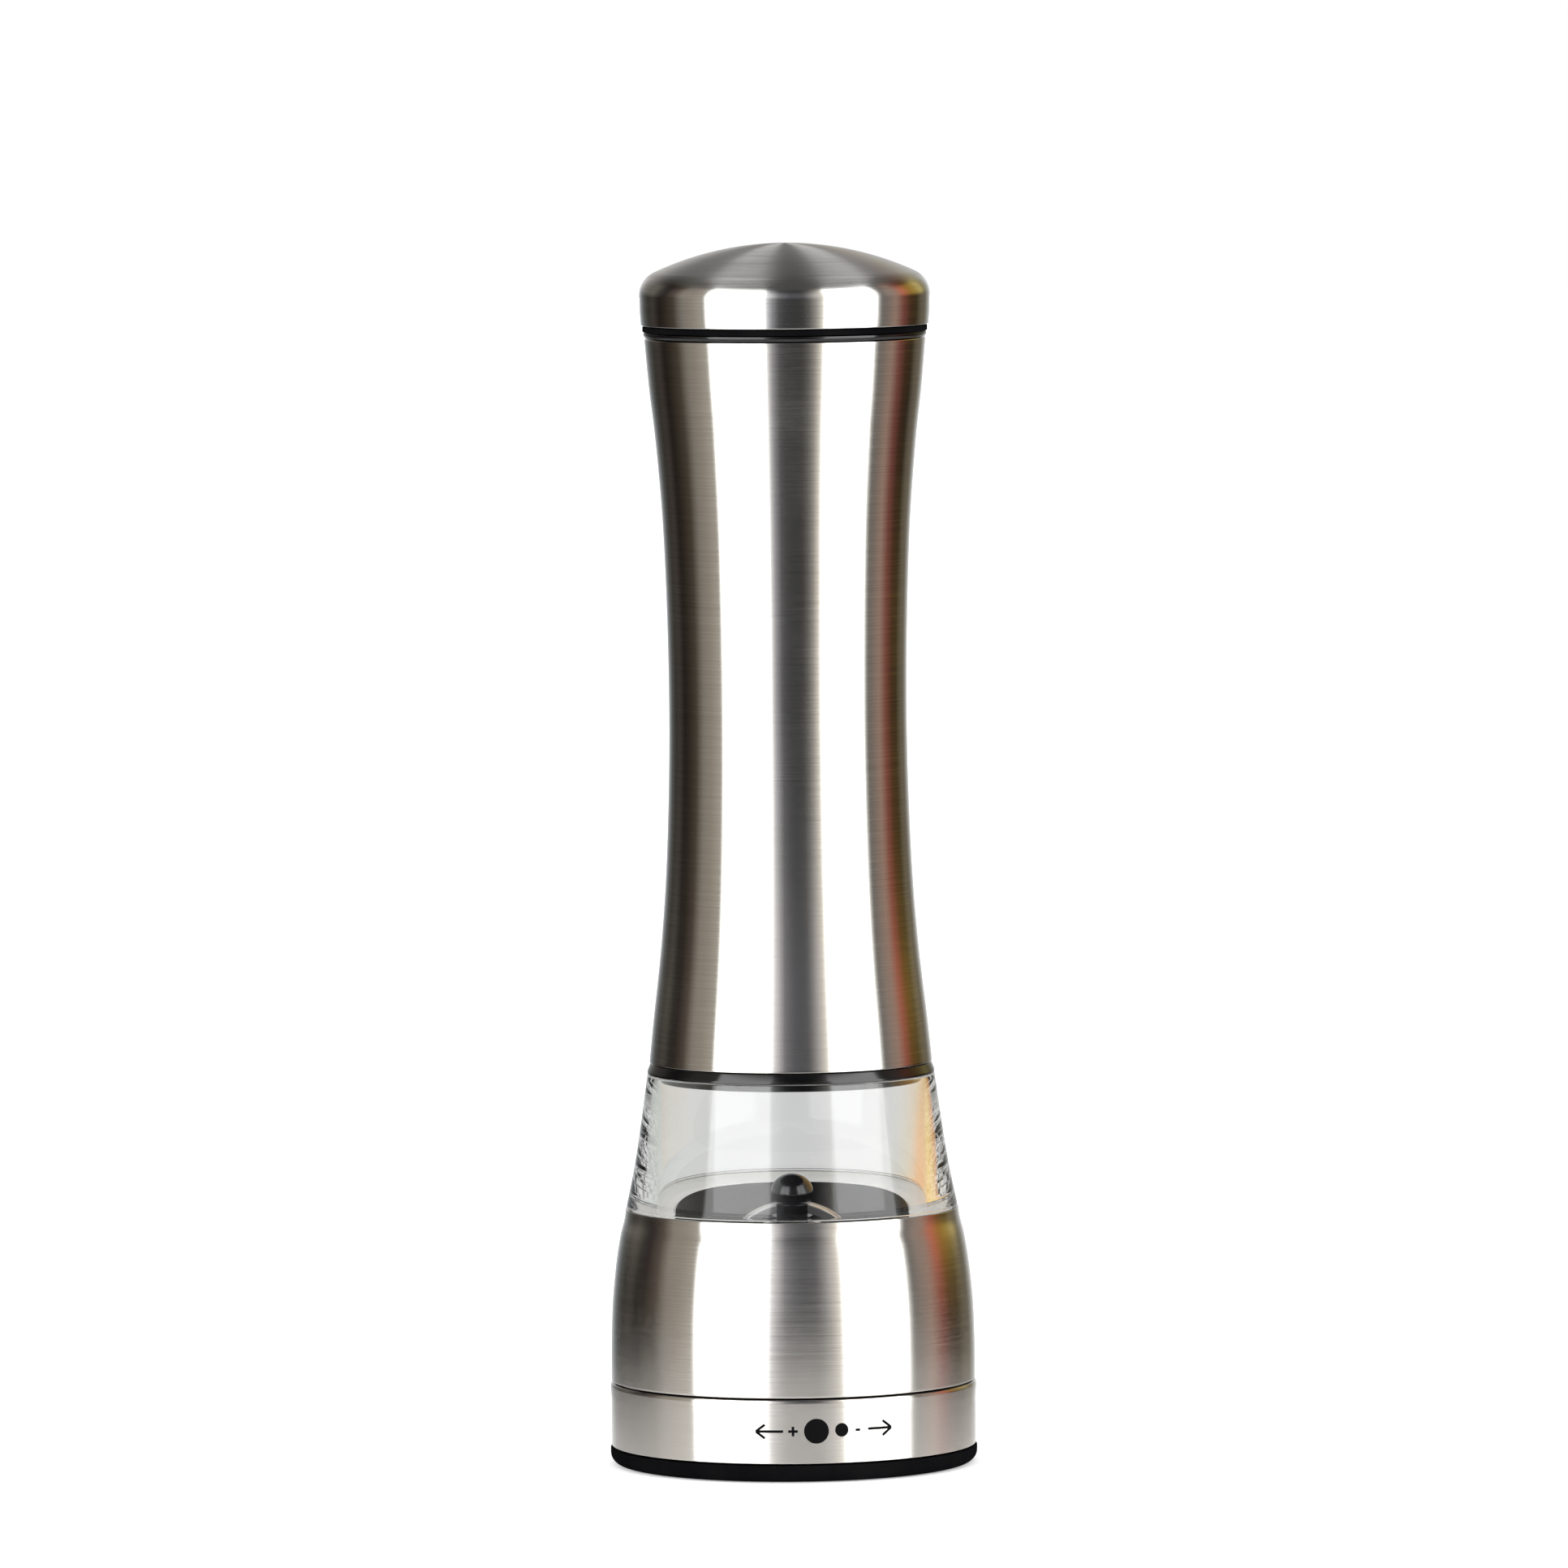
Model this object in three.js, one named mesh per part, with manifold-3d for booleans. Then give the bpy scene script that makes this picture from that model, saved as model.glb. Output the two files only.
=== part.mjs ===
// Pepper mill with a waisted steel body, a clear window and a coarseness ring in the base.
// Millimetres, +Z up, origin at the centre of the footprint, printed marks face -Y.

import * as THREE from 'three';
import * as BufferGeometryUtils from 'three/addons/utils/BufferGeometryUtils.js';
import Module from 'manifold-3d';

const wasm = await Module();
wasm.setup();

// ---------------------------------------------------------------- driving dimensions

const TAU = 2 * Math.PI;
const SHELL_SEGMENTS = 32;
const THREAD_SEGMENTS = 24;
const INNER_SEGMENTS = 24;
const SMALL_SEGMENTS = 12;

const STEEL_WALL = 0.8;
const GAP = 0.3;

// Heights of the joints between the stacked parts, from the table up.
const FOOT_TOP = 3.0;
const RING_TOP = 14.4;
const BASE_BOTTOM = 14.9;
const BASE_TOP = 45.3;
const WINDOW_BOTTOM = 42.2;
const WINDOW_SHOULDER = 45.6;
const WINDOW_TOP = 69.1;
const BAND_TOP = 70.9;
const BODY_TOP = 199.0;
const COLLAR_TOP = 200.1;
const PLUG_FLANGE_TOP = 201.1;
const CAP_TOP = 215.75;

// Base moulding: its web carries the hopper, its sleeve guides the burr carrier.
const WEB_BOTTOM = 33.6;
const WEB_TOP = 36.6;
const SLEEVE_BOTTOM = 16.5;
const SLEEVE_INNER = 20.2;
const SLEEVE_OUTER = 24.0;
const CLIP_BOTTOM = 17.9;
const CLIP_TOP = 19.1;
const KEY_ANGLES = [45, 135, 225, 315];
const KEY_WIDTH = 3.6;
const KEY_REACH = 22.2;

// Coarseness detent, at the back of the mill.
const DETENT_RADIUS = 26.1;
const DETENT_ANGLE = 90;
const DETENT_STEP = 15;
const DETENT_NOTCHES = 13;
const COLLAR_REST_TOP = 21.5;

// Coarseness thread between the ring core and the burr carrier.
const THREAD_LEAD = 4.0;
const THREAD_HEIGHT = 1.2;
const THREAD_ROOT = 19.6;
const THREAD_START = 6.0;
const THREAD_TURNS = 1.35;
const CORE_BORE = 20.2;

// The conical grinding surfaces, widest at the bottom.
const BURR_BOTTOM = 9.0;
const BURR_WAIST = 18.5;
const BURR_TOP = 26.7;
const STATOR_RADIUS = 18.0;
const STATOR_MOUTH = 14.0;
const BURR_SLOPE = 0.45;
const BURR_CLEARANCE = 0.9;
const BURR_FLUTES = 12;
const ROTOR_BOTTOM = 10.0;
const ROTOR_TOP = 27.0;

// Hopper floor, its throat and the strap that bridges it.
const FLOOR_RIM = 21.0;
const FLOOR_TOP = 44.0;
const FLANGE_RADIUS = 27.9;
const FLANGE_BOTTOM = 38.6;
const FLANGE_TOP = 40.9;
const NECK_BOTTOM = 33.2;
const NECK_RADIUS = 16.0;
const THROAT_RADIUS = 11.5;
const THROAT_TOP = 39.3;
const STRAP_TOP = 43.7;
const STRAP_RADIUS = 14.0;
const STRAP_THICKNESS = 1.5;
const STRAP_WIDTH = 4.0;
const STRAP_REACH = 15.0;
const PAD_TOP = 37.6;
const PAD_INNER = 9.5;
const BRIDGE_SCREW_X = 13.2;
const BRIDGE_PILOT_BOTTOM = 34.1;
const RETAINER_SCREW_RADIUS = 13.8;
const RETAINER_SCREW_ANGLES = [90, 210, 330];

const SPINDLE_ACROSS = 4.6;
const SPINDLE_END_RADIUS = 2.0;
const SPINDLE_HOLE = SPINDLE_END_RADIUS + GAP;
const HUB_RADIUS = 3.6;
const HUB_TOP = 43.8;
const KNOB_RADIUS = 3.9;
const KNOB_CENTRE = 45.4;

// Cap: a spherical crown that rolls over into an upright side.
const CAP_RADIUS = 25.6;
const CAP_CROWN_RADIUS = 54.8;
const CAP_CORNER_RADIUS = 4.5;

// Outside outlines as [radius, height] stations.
const BASE_STATIONS = [
  [32.17, BASE_BOTTOM], [32.15, 21.0], [31.9, 28.5], [31.2, 35.6], [30.4, 40.5], [29.7, 43.3],
  [29.42, BASE_TOP],
];
const WINDOW_FOOT_OUTER = 27.6;
const WINDOW_FOOT_INNER = 24.5;
const WINDOW_STATIONS = [[29.3, WINDOW_SHOULDER], [27.9, 52.3], [26.75, 59.4], [25.4, WINDOW_TOP]];
const BODY_STATIONS = [
  [25.0, 71.2], [24.25, 78.5], [22.7, 92.3], [21.65, 107.0], [21.05, 126.0], [21.1, 145.0],
  [21.75, 165.0], [22.9, 180.2], [24.0, 190.0], [24.8, BODY_TOP],
];

// ---------------------------------------------------------------- materials

function surface(color, roughness, metalness) {
  return new THREE.MeshStandardMaterial({ color, roughness, metalness });
}

const brushedSteel = surface(0xb9b5ae, 0.32, 1.0);
const brightSteel = surface(0xc4c4c2, 0.2, 1.0);
const blackGloss = surface(0x0c0c0d, 0.2, 0.0);
const blackPlastic = surface(0x141415, 0.45, 0.0);
const paleSilicone = surface(0xd8d6cf, 0.5, 0.0);
const ceramic = surface(0xe9e6dd, 0.4, 0.0);
const acetal = surface(0xe6e6e2, 0.4, 0.0);
const acrylic = new THREE.MeshStandardMaterial({
  color: 0xf2f5f4,
  roughness: 0.05,
  metalness: 0.0,
  transparent: true,
  opacity: 0.35,
});

// ---------------------------------------------------------------- geometry helpers

const mill = new THREE.Group();

function place(name, geometry, material) {
  const mesh = new THREE.Mesh(geometry, material);
  mesh.name = name;
  mill.add(mesh);
}

// The same geometry with shared vertices merged and collapsed triangles left out.
function welded(geometry) {
  const bare = geometry.clone();
  bare.deleteAttribute('normal');
  bare.deleteAttribute('uv');
  const merged = BufferGeometryUtils.mergeVertices(bare, 1e-4);
  const source = merged.index.array;
  const kept = [];
  for (let i = 0; i < source.length; i += 3) {
    const [a, b, c] = source.slice(i, i + 3);
    if (a !== b && b !== c && c !== a) {
      kept.push(a, b, c);
    }
  }
  merged.setIndex(kept);
  return merged;
}

function solidOf(geometry) {
  const clean = welded(geometry);
  return new wasm.Manifold(new wasm.Mesh({
    numProp: 3,
    vertProperties: new Float32Array(clean.attributes.position.array),
    triVerts: new Uint32Array(clean.index.array),
  }));
}

function geometryOf(solid) {
  const mesh = solid.getMesh();
  const geometry = new THREE.BufferGeometry();
  geometry.setAttribute('position', new THREE.BufferAttribute(mesh.vertProperties, 3));
  geometry.setIndex(new THREE.BufferAttribute(mesh.triVerts, 1));
  return geometry;
}

function cut(geometry, tools) {
  const body = tools.reduce((left, tool) => left.subtract(solidOf(tool)), solidOf(geometry));
  return geometryOf(body);
}

function join(geometries) {
  const [first, ...rest] = geometries.map(solidOf);
  return geometryOf(rest.reduce((sum, solid) => sum.add(solid), first));
}

// A solid of revolution about Z from a closed outline of [radius, height] points.
function turned(outline, segments) {
  const next = (i) => outline[(i + 1) % outline.length];
  const area = outline.reduce((sum, [r, z], i) => sum + r * next(i)[1] - next(i)[0] * z, 0);
  const ordered = area > 0 ? outline : [...outline].reverse();
  const points = [...ordered, ordered[0]].map(([r, z]) => new THREE.Vector2(r, z));
  const geometry = new THREE.LatheGeometry(points, segments);
  geometry.rotateX(Math.PI / 2);
  return welded(geometry);
}

function block(sizeX, sizeY, sizeZ, x, y, z) {
  const geometry = new THREE.BoxGeometry(sizeX, sizeY, sizeZ);
  geometry.translate(x, y, z);
  return geometry;
}

// An upright rod, or the tool for an upright hole, from one height to another.
function rod(radius, low, high, [x, y] = [0, 0], segments = SMALL_SEGMENTS) {
  const geometry = new THREE.CylinderGeometry(radius, radius, high - low, segments);
  geometry.rotateX(Math.PI / 2);
  geometry.translate(x, y, (low + high) / 2);
  return geometry;
}

function turnedBy(geometry, degrees) {
  return geometry.clone().rotateZ(THREE.MathUtils.degToRad(degrees));
}

function around(radius, degrees) {
  const angle = THREE.MathUtils.degToRad(degrees);
  return [radius * Math.cos(angle), radius * Math.sin(angle)];
}

// Outline points of an arc, from one angle to another in degrees.
function arc(centreR, centreZ, radius, from, to, steps) {
  const points = [];
  for (let i = 0; i <= steps; i += 1) {
    const [r, z] = around(radius, from + ((to - from) * i) / steps);
    points.push([centreR + r, centreZ + z]);
  }
  return points;
}

// A smooth outline through its stations, with the given number of steps.
function flowing(stations, steps) {
  const curve = new THREE.SplineCurve(stations.map(([r, z]) => new THREE.Vector2(r, z)));
  return curve.getPoints(steps).map((point) => [point.x, point.y]);
}

// A thin tube wall whose inside follows its outside.
function tubeWall(outside, wall) {
  const inside = outside.map(([r, z]) => [r - wall, z]);
  return [...outside, ...inside.reverse()];
}

// A helix about Z whose sections stay upright and face straight out.
class Helix extends THREE.Curve {
  constructor(radius, lead, low, turns) {
    super();
    Object.assign(this, { radius, lead, low, turns });
  }

  getPoint(t, target = new THREE.Vector3()) {
    const angle = TAU * this.turns * t;
    const z = this.low + this.lead * this.turns * t;
    return target.set(this.radius * Math.cos(angle), this.radius * Math.sin(angle), z);
  }

  computeFrenetFrames(segments) {
    const frames = { tangents: [], normals: [], binormals: [] };
    for (let i = 0; i <= segments; i += 1) {
      const angle = (TAU * this.turns * i) / segments;
      frames.tangents.push(new THREE.Vector3(-Math.sin(angle), Math.cos(angle), 0));
      frames.normals.push(new THREE.Vector3(Math.cos(angle), Math.sin(angle), 0));
      frames.binormals.push(new THREE.Vector3(0, 0, -1));
    }
    return frames;
  }
}

// A bar swept along a helix; section points are [outward, downward] from the helix.
function helicalBar(section, helix, stepsPerTurn) {
  const shape = new THREE.Shape(section.map(([x, y]) => new THREE.Vector2(x, y)));
  const steps = Math.round(helix.turns * stepsPerTurn);
  return new THREE.ExtrudeGeometry(shape, { steps, extrudePath: helix, bevelEnabled: false });
}

function coilSpring(radius, wire, low, high, turns, stepsPerTurn) {
  const helix = new Helix(radius, (high - low - 2 * wire) / turns, low + wire, turns);
  return helicalBar(arc(0, 0, wire, 0, 300, 5), helix, stepsPerTurn);
}

// ---------------------------------------------------------------- base

const baseSkin = flowing(BASE_STATIONS, BASE_STATIONS.length - 1);

function baseSkinRadius(height) {
  const above = baseSkin.findIndex(([, z]) => z >= height);
  const [lowR, lowZ] = baseSkin[above - 1];
  const [highR, highZ] = baseSkin[above];
  return lowR + ((highR - lowR) * (height - lowZ)) / (highZ - lowZ);
}

function baseHousing() {
  const housingTop = 38.2;
  const fit = STEEL_WALL + GAP;
  const outside = [15.2, 24.0, 31.0, housingTop].map((z) => [baseSkinRadius(z) - fit, z]);
  const rimInner = 28.2;
  const skirtInner = 28.9;
  const grooveRadius = 30.0;
  const body = turned([
    ...outside,
    [rimInner, housingTop], [rimInner, WEB_TOP], [NECK_RADIUS + GAP, WEB_TOP],
    [NECK_RADIUS + GAP, WEB_BOTTOM], [SLEEVE_INNER, WEB_BOTTOM], [SLEEVE_INNER, SLEEVE_BOTTOM],
    [SLEEVE_OUTER, SLEEVE_BOTTOM], [SLEEVE_OUTER, WEB_BOTTOM], [skirtInner, WEB_BOTTOM],
    [skirtInner, CLIP_TOP + GAP], [grooveRadius, CLIP_TOP + GAP],
    [grooveRadius, CLIP_BOTTOM - GAP], [skirtInner, CLIP_BOTTOM - GAP], [skirtInner, 15.2],
  ], SHELL_SEGMENTS);
  const seat = around(DETENT_RADIUS, DETENT_ANGLE);
  const boss = rod(2.9, COLLAR_REST_TOP + 1.5, WEB_BOTTOM + 0.5, seat);
  const slotReach = KEY_REACH + 0.5;
  const slotLength = slotReach - 18.9;
  const slotTop = 29.2;
  const slotHeight = slotTop - 16;
  const slot = block(slotLength, KEY_WIDTH + 0.8, slotHeight, slotReach - slotLength / 2, 0,
    slotTop - slotHeight / 2);
  return cut(join([body, boss]), [
    rod(1.8, COLLAR_REST_TOP, 32.2, seat),
    ...KEY_ANGLES.map((angle) => turnedBy(slot, angle)),
  ]);
}

// An open spring ring that snaps into the housing under the lip of the ring core.
function ringClip() {
  const ring = turned([
    [27.5, CLIP_BOTTOM], [29.7, CLIP_BOTTOM], [29.7, CLIP_TOP], [27.5, CLIP_TOP],
  ], INNER_SEGMENTS);
  return cut(ring, [block(5, 7, 4, 0, 28.6, CLIP_TOP)]);
}

function detentBall() {
  const [x, y] = around(DETENT_RADIUS, DETENT_ANGLE);
  const radius = 1.5;
  const ball = new THREE.SphereGeometry(radius, 12, 8);
  ball.translate(x, y, COLLAR_REST_TOP + 0.35 + radius);
  return welded(ball);
}

function detentSpring() {
  const [x, y] = around(DETENT_RADIUS, DETENT_ANGLE);
  return welded(coilSpring(1.1, 0.25, 25.2, 31.9, 4, 10).translate(x, y, 0));
}

function addBase() {
  place('base_shell', turned(tubeWall(baseSkin, STEEL_WALL), SHELL_SEGMENTS), brushedSteel);
  place('base_housing', baseHousing(), blackPlastic);
  place('glide_ring', turned([
    [17.0, WEB_TOP + GAP], [26.0, WEB_TOP + GAP], [26.0, 38.3], [17.0, 38.3],
  ], INNER_SEGMENTS), acetal);
  place('ring_clip', ringClip(), brightSteel);
  place('detent_ball', detentBall(), brightSteel);
  place('detent_spring', detentSpring(), brightSteel);
}

// ---------------------------------------------------------------- coarseness ring

// Cross-section of the thread ridge, or of its groove when a clearance is added.
function threadSection(clearance) {
  const root = 0.9 + clearance;
  const crest = 0.5 + clearance;
  const height = THREAD_HEIGHT + clearance;
  return [[-0.8, -root], [0, -root], [height, -crest], [height, crest], [0, root], [-0.8, root]];
}

function footRing() {
  const opening = 23.7;
  const radius = 32.45;
  const roundness = 2.05;
  return turned([
    [opening, 0.4], [opening + 0.4, 0], ...arc(radius - roundness, roundness, roundness, -90, 0, 4),
    [radius, FOOT_TOP], [opening, FOOT_TOP],
  ], SHELL_SEGMENTS);
}

function adjustRingShell() {
  const low = FOOT_TOP + GAP;
  return turned([
    [31.6, low], [32.24, low], [32.24, 11.5], [32.4, RING_TOP - 0.6], [32.2, RING_TOP],
    [31.6, RING_TOP],
  ], SHELL_SEGMENTS);
}

function adjustRingCore() {
  const low = FOOT_TOP + GAP;
  const deckTop = 14.0;
  const lipBottom = CLIP_TOP + 0.4;
  const body = turned([
    [CORE_BORE, low], [22.9, low], [22.9, 11.6], [29.4, 11.6], [29.4, low], [31.3, low],
    [31.3, deckTop], [27.2, deckTop], [27.2, lipBottom], [28.6, lipBottom],
    [28.6, COLLAR_REST_TOP], [25.0, COLLAR_REST_TOP], [25.0, deckTop], [CORE_BORE, deckTop],
  ], SHELL_SEGMENTS);
  const groove = helicalBar(
    threadSection(0.35),
    new Helix(THREAD_ROOT, THREAD_LEAD, THREAD_START - THREAD_LEAD, 3.4),
    THREAD_SEGMENTS,
  );
  const notch = new THREE.BoxGeometry(6, 1.1, 1.1);
  notch.rotateX(Math.PI / 4);
  notch.translate(26.8, 0, COLLAR_REST_TOP);
  const notches = [];
  for (let i = 0; i < DETENT_NOTCHES; i += 1) {
    const offset = (i - (DETENT_NOTCHES - 1) / 2) * DETENT_STEP;
    notches.push(turnedBy(notch, DETENT_ANGLE + offset));
  }
  return cut(body, [groove, ...notches]);
}

function addCoarsenessRing() {
  place('foot_ring', footRing(), blackPlastic);
  place('adjust_ring_shell', adjustRingShell(), brushedSteel);
  place('adjust_ring_core', adjustRingCore(), blackPlastic);
}

// ---------------------------------------------------------------- burr carrier

function statorCarrier() {
  const low = 3.9;
  const top = BURR_TOP + GAP;
  const bore = STATOR_RADIUS + GAP;
  const shelfTop = BURR_BOTTOM - GAP;
  const tube = turned([
    [16.2, low], [THREAD_ROOT, low], [THREAD_ROOT, top], [bore, top], [bore, shelfTop],
    [16.2, shelfTop],
  ], SHELL_SEGMENTS);
  const ridge = helicalBar(
    threadSection(0),
    new Helix(THREAD_ROOT, THREAD_LEAD, THREAD_START, THREAD_TURNS),
    THREAD_SEGMENTS,
  );
  const keyBottom = 17.3;
  const keyLength = KEY_REACH - 19.0;
  const key = block(keyLength, KEY_WIDTH, top - keyBottom, 19.0 + keyLength / 2, 0,
    (top + keyBottom) / 2);
  return join([tube, ridge, ...KEY_ANGLES.map((angle) => turnedBy(key, angle))]);
}

// Slots along the cone that both burrs are cut with, leaning opposite ways.
function fluteTools(surfaceRadius, height, lean) {
  const flute = new THREE.BoxGeometry(1.1, 1.3, 13.0);
  flute.rotateX(lean);
  flute.rotateY(-Math.atan(BURR_SLOPE));
  flute.translate(surfaceRadius, 0, height);
  return Array.from({ length: BURR_FLUTES }, (_, i) => turnedBy(flute, (360 * i) / BURR_FLUTES));
}

function coneRadius(height) {
  return STATOR_MOUTH - BURR_SLOPE * (height - BURR_BOTTOM);
}

function statorBurr() {
  const ring = turned([
    [STATOR_MOUTH, BURR_BOTTOM], [STATOR_RADIUS, BURR_BOTTOM], [STATOR_RADIUS, BURR_TOP],
    [15.6, BURR_TOP], [coneRadius(BURR_WAIST), BURR_WAIST],
  ], INNER_SEGMENTS);
  return cut(ring, fluteTools(coneRadius(13), 13, 0.25));
}

function rotorBurr() {
  const cone = turned([
    [0, ROTOR_BOTTOM], [coneRadius(ROTOR_BOTTOM) - BURR_CLEARANCE, ROTOR_BOTTOM],
    [coneRadius(BURR_WAIST) - BURR_CLEARANCE, BURR_WAIST], [5.6, ROTOR_TOP], [0, ROTOR_TOP],
  ], INNER_SEGMENTS);
  const across = SPINDLE_ACROSS + 2 * GAP;
  const socket = block(across, across, 30, 0, 0, BURR_WAIST);
  return cut(cone, [socket, ...fluteTools(coneRadius(13) - BURR_CLEARANCE, 13, -0.25)]);
}

function addBurrCarrier() {
  place('stator_carrier', statorCarrier(), blackPlastic);
  place('stator_burr', statorBurr(), ceramic);
}

// ---------------------------------------------------------------- hopper

function hopperFloor() {
  const body = turned([
    [THROAT_RADIUS, NECK_BOTTOM], [NECK_RADIUS, NECK_BOTTOM], [NECK_RADIUS, FLANGE_BOTTOM],
    [FLANGE_RADIUS, FLANGE_BOTTOM], [FLANGE_RADIUS, FLANGE_TOP], [FLOOR_RIM, FLANGE_TOP],
    [FLOOR_RIM, FLOOR_TOP - 0.6], [FLOOR_RIM - 0.4, FLOOR_TOP], [FLOOR_RIM - 1.2, FLOOR_TOP],
    [THROAT_RADIUS, THROAT_TOP],
  ], INNER_SEGMENTS);
  const padLength = STRAP_REACH + GAP - PAD_INNER;
  const padHeight = 8;
  const pad = block(padLength, STRAP_WIDTH + 1.8, padHeight, PAD_INNER + padLength / 2, 0,
    PAD_TOP + padHeight / 2);
  const bridgePilot = rod(1.2, BRIDGE_PILOT_BOTTOM, PAD_TOP + 1, [BRIDGE_SCREW_X, 0]);
  const retainerPilots = RETAINER_SCREW_ANGLES.map(
    (angle) => rod(1.3, 32, 37.6, around(RETAINER_SCREW_RADIUS, angle)),
  );
  return cut(body, [
    pad, turnedBy(pad, 180), bridgePilot, turnedBy(bridgePilot, 180), ...retainerPilots,
  ]);
}

// A flat strap that arches over the throat and stands on two feet.
function bridge() {
  const centre = STRAP_TOP - STRAP_RADIUS;
  const inner = STRAP_RADIUS - STRAP_THICKNESS;
  const footBottom = PAD_TOP + GAP;
  const footTop = footBottom + STRAP_THICKNESS;
  const outerAngle = THREE.MathUtils.radToDeg(Math.asin((footTop - centre) / STRAP_RADIUS));
  const innerAngle = THREE.MathUtils.radToDeg(Math.asin((footBottom - centre) / inner));
  const outline = [
    [STRAP_REACH, footBottom], [STRAP_REACH, footTop],
    ...arc(0, centre, STRAP_RADIUS, outerAngle, 180 - outerAngle, 12),
    [-STRAP_REACH, footTop], [-STRAP_REACH, footBottom],
    ...arc(0, centre, inner, 180 - innerAngle, innerAngle, 12),
  ];
  const shape = new THREE.Shape(outline.map(([x, z]) => new THREE.Vector2(x, z)));
  const strap = new THREE.ExtrudeGeometry(shape, { depth: STRAP_WIDTH, bevelEnabled: false });
  strap.rotateX(Math.PI / 2);
  strap.translate(0, STRAP_WIDTH / 2, 0);
  const screwHole = rod(1.2, footBottom - 1, footTop + 1, [BRIDGE_SCREW_X, 0]);
  const spindleHole = rod(1.7, 40, 46);
  return cut(strap, [spindleHole, screwHole, turnedBy(screwHole, 180)]);
}

function bridgeScrew(side) {
  const at = [side * BRIDGE_SCREW_X, 0];
  const headBottom = PAD_TOP + STRAP_THICKNESS + 2 * GAP;
  return join([
    rod(0.9, BRIDGE_PILOT_BOTTOM + GAP, headBottom + 0.2, at),
    rod(1.8, headBottom, headBottom + 1.2, at),
  ]);
}

function spindle() {
  const squareBottom = 10.8;
  const squareTop = 38.9;
  const square = block(SPINDLE_ACROSS, SPINDLE_ACROSS, squareTop - squareBottom, 0, 0,
    (squareTop + squareBottom) / 2);
  return join([
    square,
    rod(SPINDLE_END_RADIUS, 4.6, squareBottom + 1),
    rod(SPINDLE_END_RADIUS, squareTop - 1, 41.0),
    rod(1.4, 40.5, 46.6),
  ]);
}

// A black hub under the knob, slotted for the strap.
function spindleHub() {
  const low = 39.2;
  const shoulder = low + 1.2;
  const post = turned([
    [SPINDLE_HOLE, low], [5.4, low], [5.4, shoulder], [HUB_RADIUS, shoulder],
    [HUB_RADIUS, HUB_TOP], [SPINDLE_HOLE, HUB_TOP],
  ], INNER_SEGMENTS);
  const slotBottom = 41.2;
  return cut(post, [block(14, STRAP_WIDTH + 0.6, 6, 0, 0, slotBottom + 3)]);
}

function spindleKnob() {
  const low = HUB_TOP + GAP;
  const boreTop = 46.9;
  const start = THREE.MathUtils.radToDeg(Math.asin((low - KNOB_CENTRE) / KNOB_RADIUS));
  return turned([
    [1.7, low], ...arc(0, KNOB_CENTRE, KNOB_RADIUS, start, 90, 8), [0, boreTop], [1.7, boreTop],
  ], INNER_SEGMENTS);
}

function spindleNut() {
  const body = rod(4.0, 5.2, 8.5, [0, 0], 6);
  return cut(body, [rod(SPINDLE_HOLE, 4, 10)]);
}

function washer(inner, outer, low, high) {
  return turned([[inner, low], [outer, low], [outer, high], [inner, high]], INNER_SEGMENTS);
}

function retainingRing() {
  const ring = washer(11.8, 19.5, 30.6, NECK_BOTTOM - GAP);
  return cut(ring, RETAINER_SCREW_ANGLES.map(
    (angle) => rod(1.3, 30, 34, around(RETAINER_SCREW_RADIUS, angle)),
  ));
}

function retainerScrew(angle) {
  const at = around(RETAINER_SCREW_RADIUS, angle);
  return join([rod(2.0, 29.0, 30.3, at), rod(1.0, 30.1, 37.3, at)]);
}

// A cone outside and a nearly straight bore inside, so the wall thickens downwards.
function windowCone() {
  return turned([
    [WINDOW_FOOT_OUTER, WINDOW_BOTTOM], [WINDOW_FOOT_OUTER, WINDOW_SHOULDER],
    ...flowing(WINDOW_STATIONS, 4),
    [23.9, WINDOW_TOP], [24.3, 52.0], [WINDOW_FOOT_INNER, WINDOW_BOTTOM],
  ], SHELL_SEGMENTS);
}

// A U-shaped gasket that holds the window's foot off the floor and off the steel.
function windowSeat() {
  const low = FLANGE_TOP + GAP;
  const bed = WINDOW_BOTTOM - GAP;
  const outerLip = WINDOW_FOOT_OUTER + GAP;
  const innerLip = WINDOW_FOOT_INNER - GAP;
  const innerLipTop = 43.4;
  const inner = FLOOR_RIM + GAP;
  return turned([
    [inner, low], [outerLip + 0.5, low], [outerLip + 0.5, 45.0], [outerLip, 45.0],
    [outerLip, bed], [innerLip, bed], [innerLip, innerLipTop], [inner, innerLipTop],
  ], SHELL_SEGMENTS);
}

function bottomCollar() {
  const inner = 21.2;
  const low = 67.7;
  const top = 78.0;
  const spigot = 23.4;
  const band = 25.4;
  const bandBottom = WINDOW_TOP + GAP;
  return turned([
    [inner, low], [spigot, low], [spigot, bandBottom], [band, bandBottom], [band, BAND_TOP],
    [22.9, BAND_TOP], [22.9, top], [inner, top],
  ], SHELL_SEGMENTS);
}

function topCollar() {
  const inner = 21.6;
  const flangeBottom = BODY_TOP + GAP;
  return turned([
    [inner, 190.5], [22.9, 190.5], [22.9, flangeBottom], [24.95, flangeBottom],
    [24.95, COLLAR_TOP], [inner, COLLAR_TOP],
  ], SHELL_SEGMENTS);
}

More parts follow.
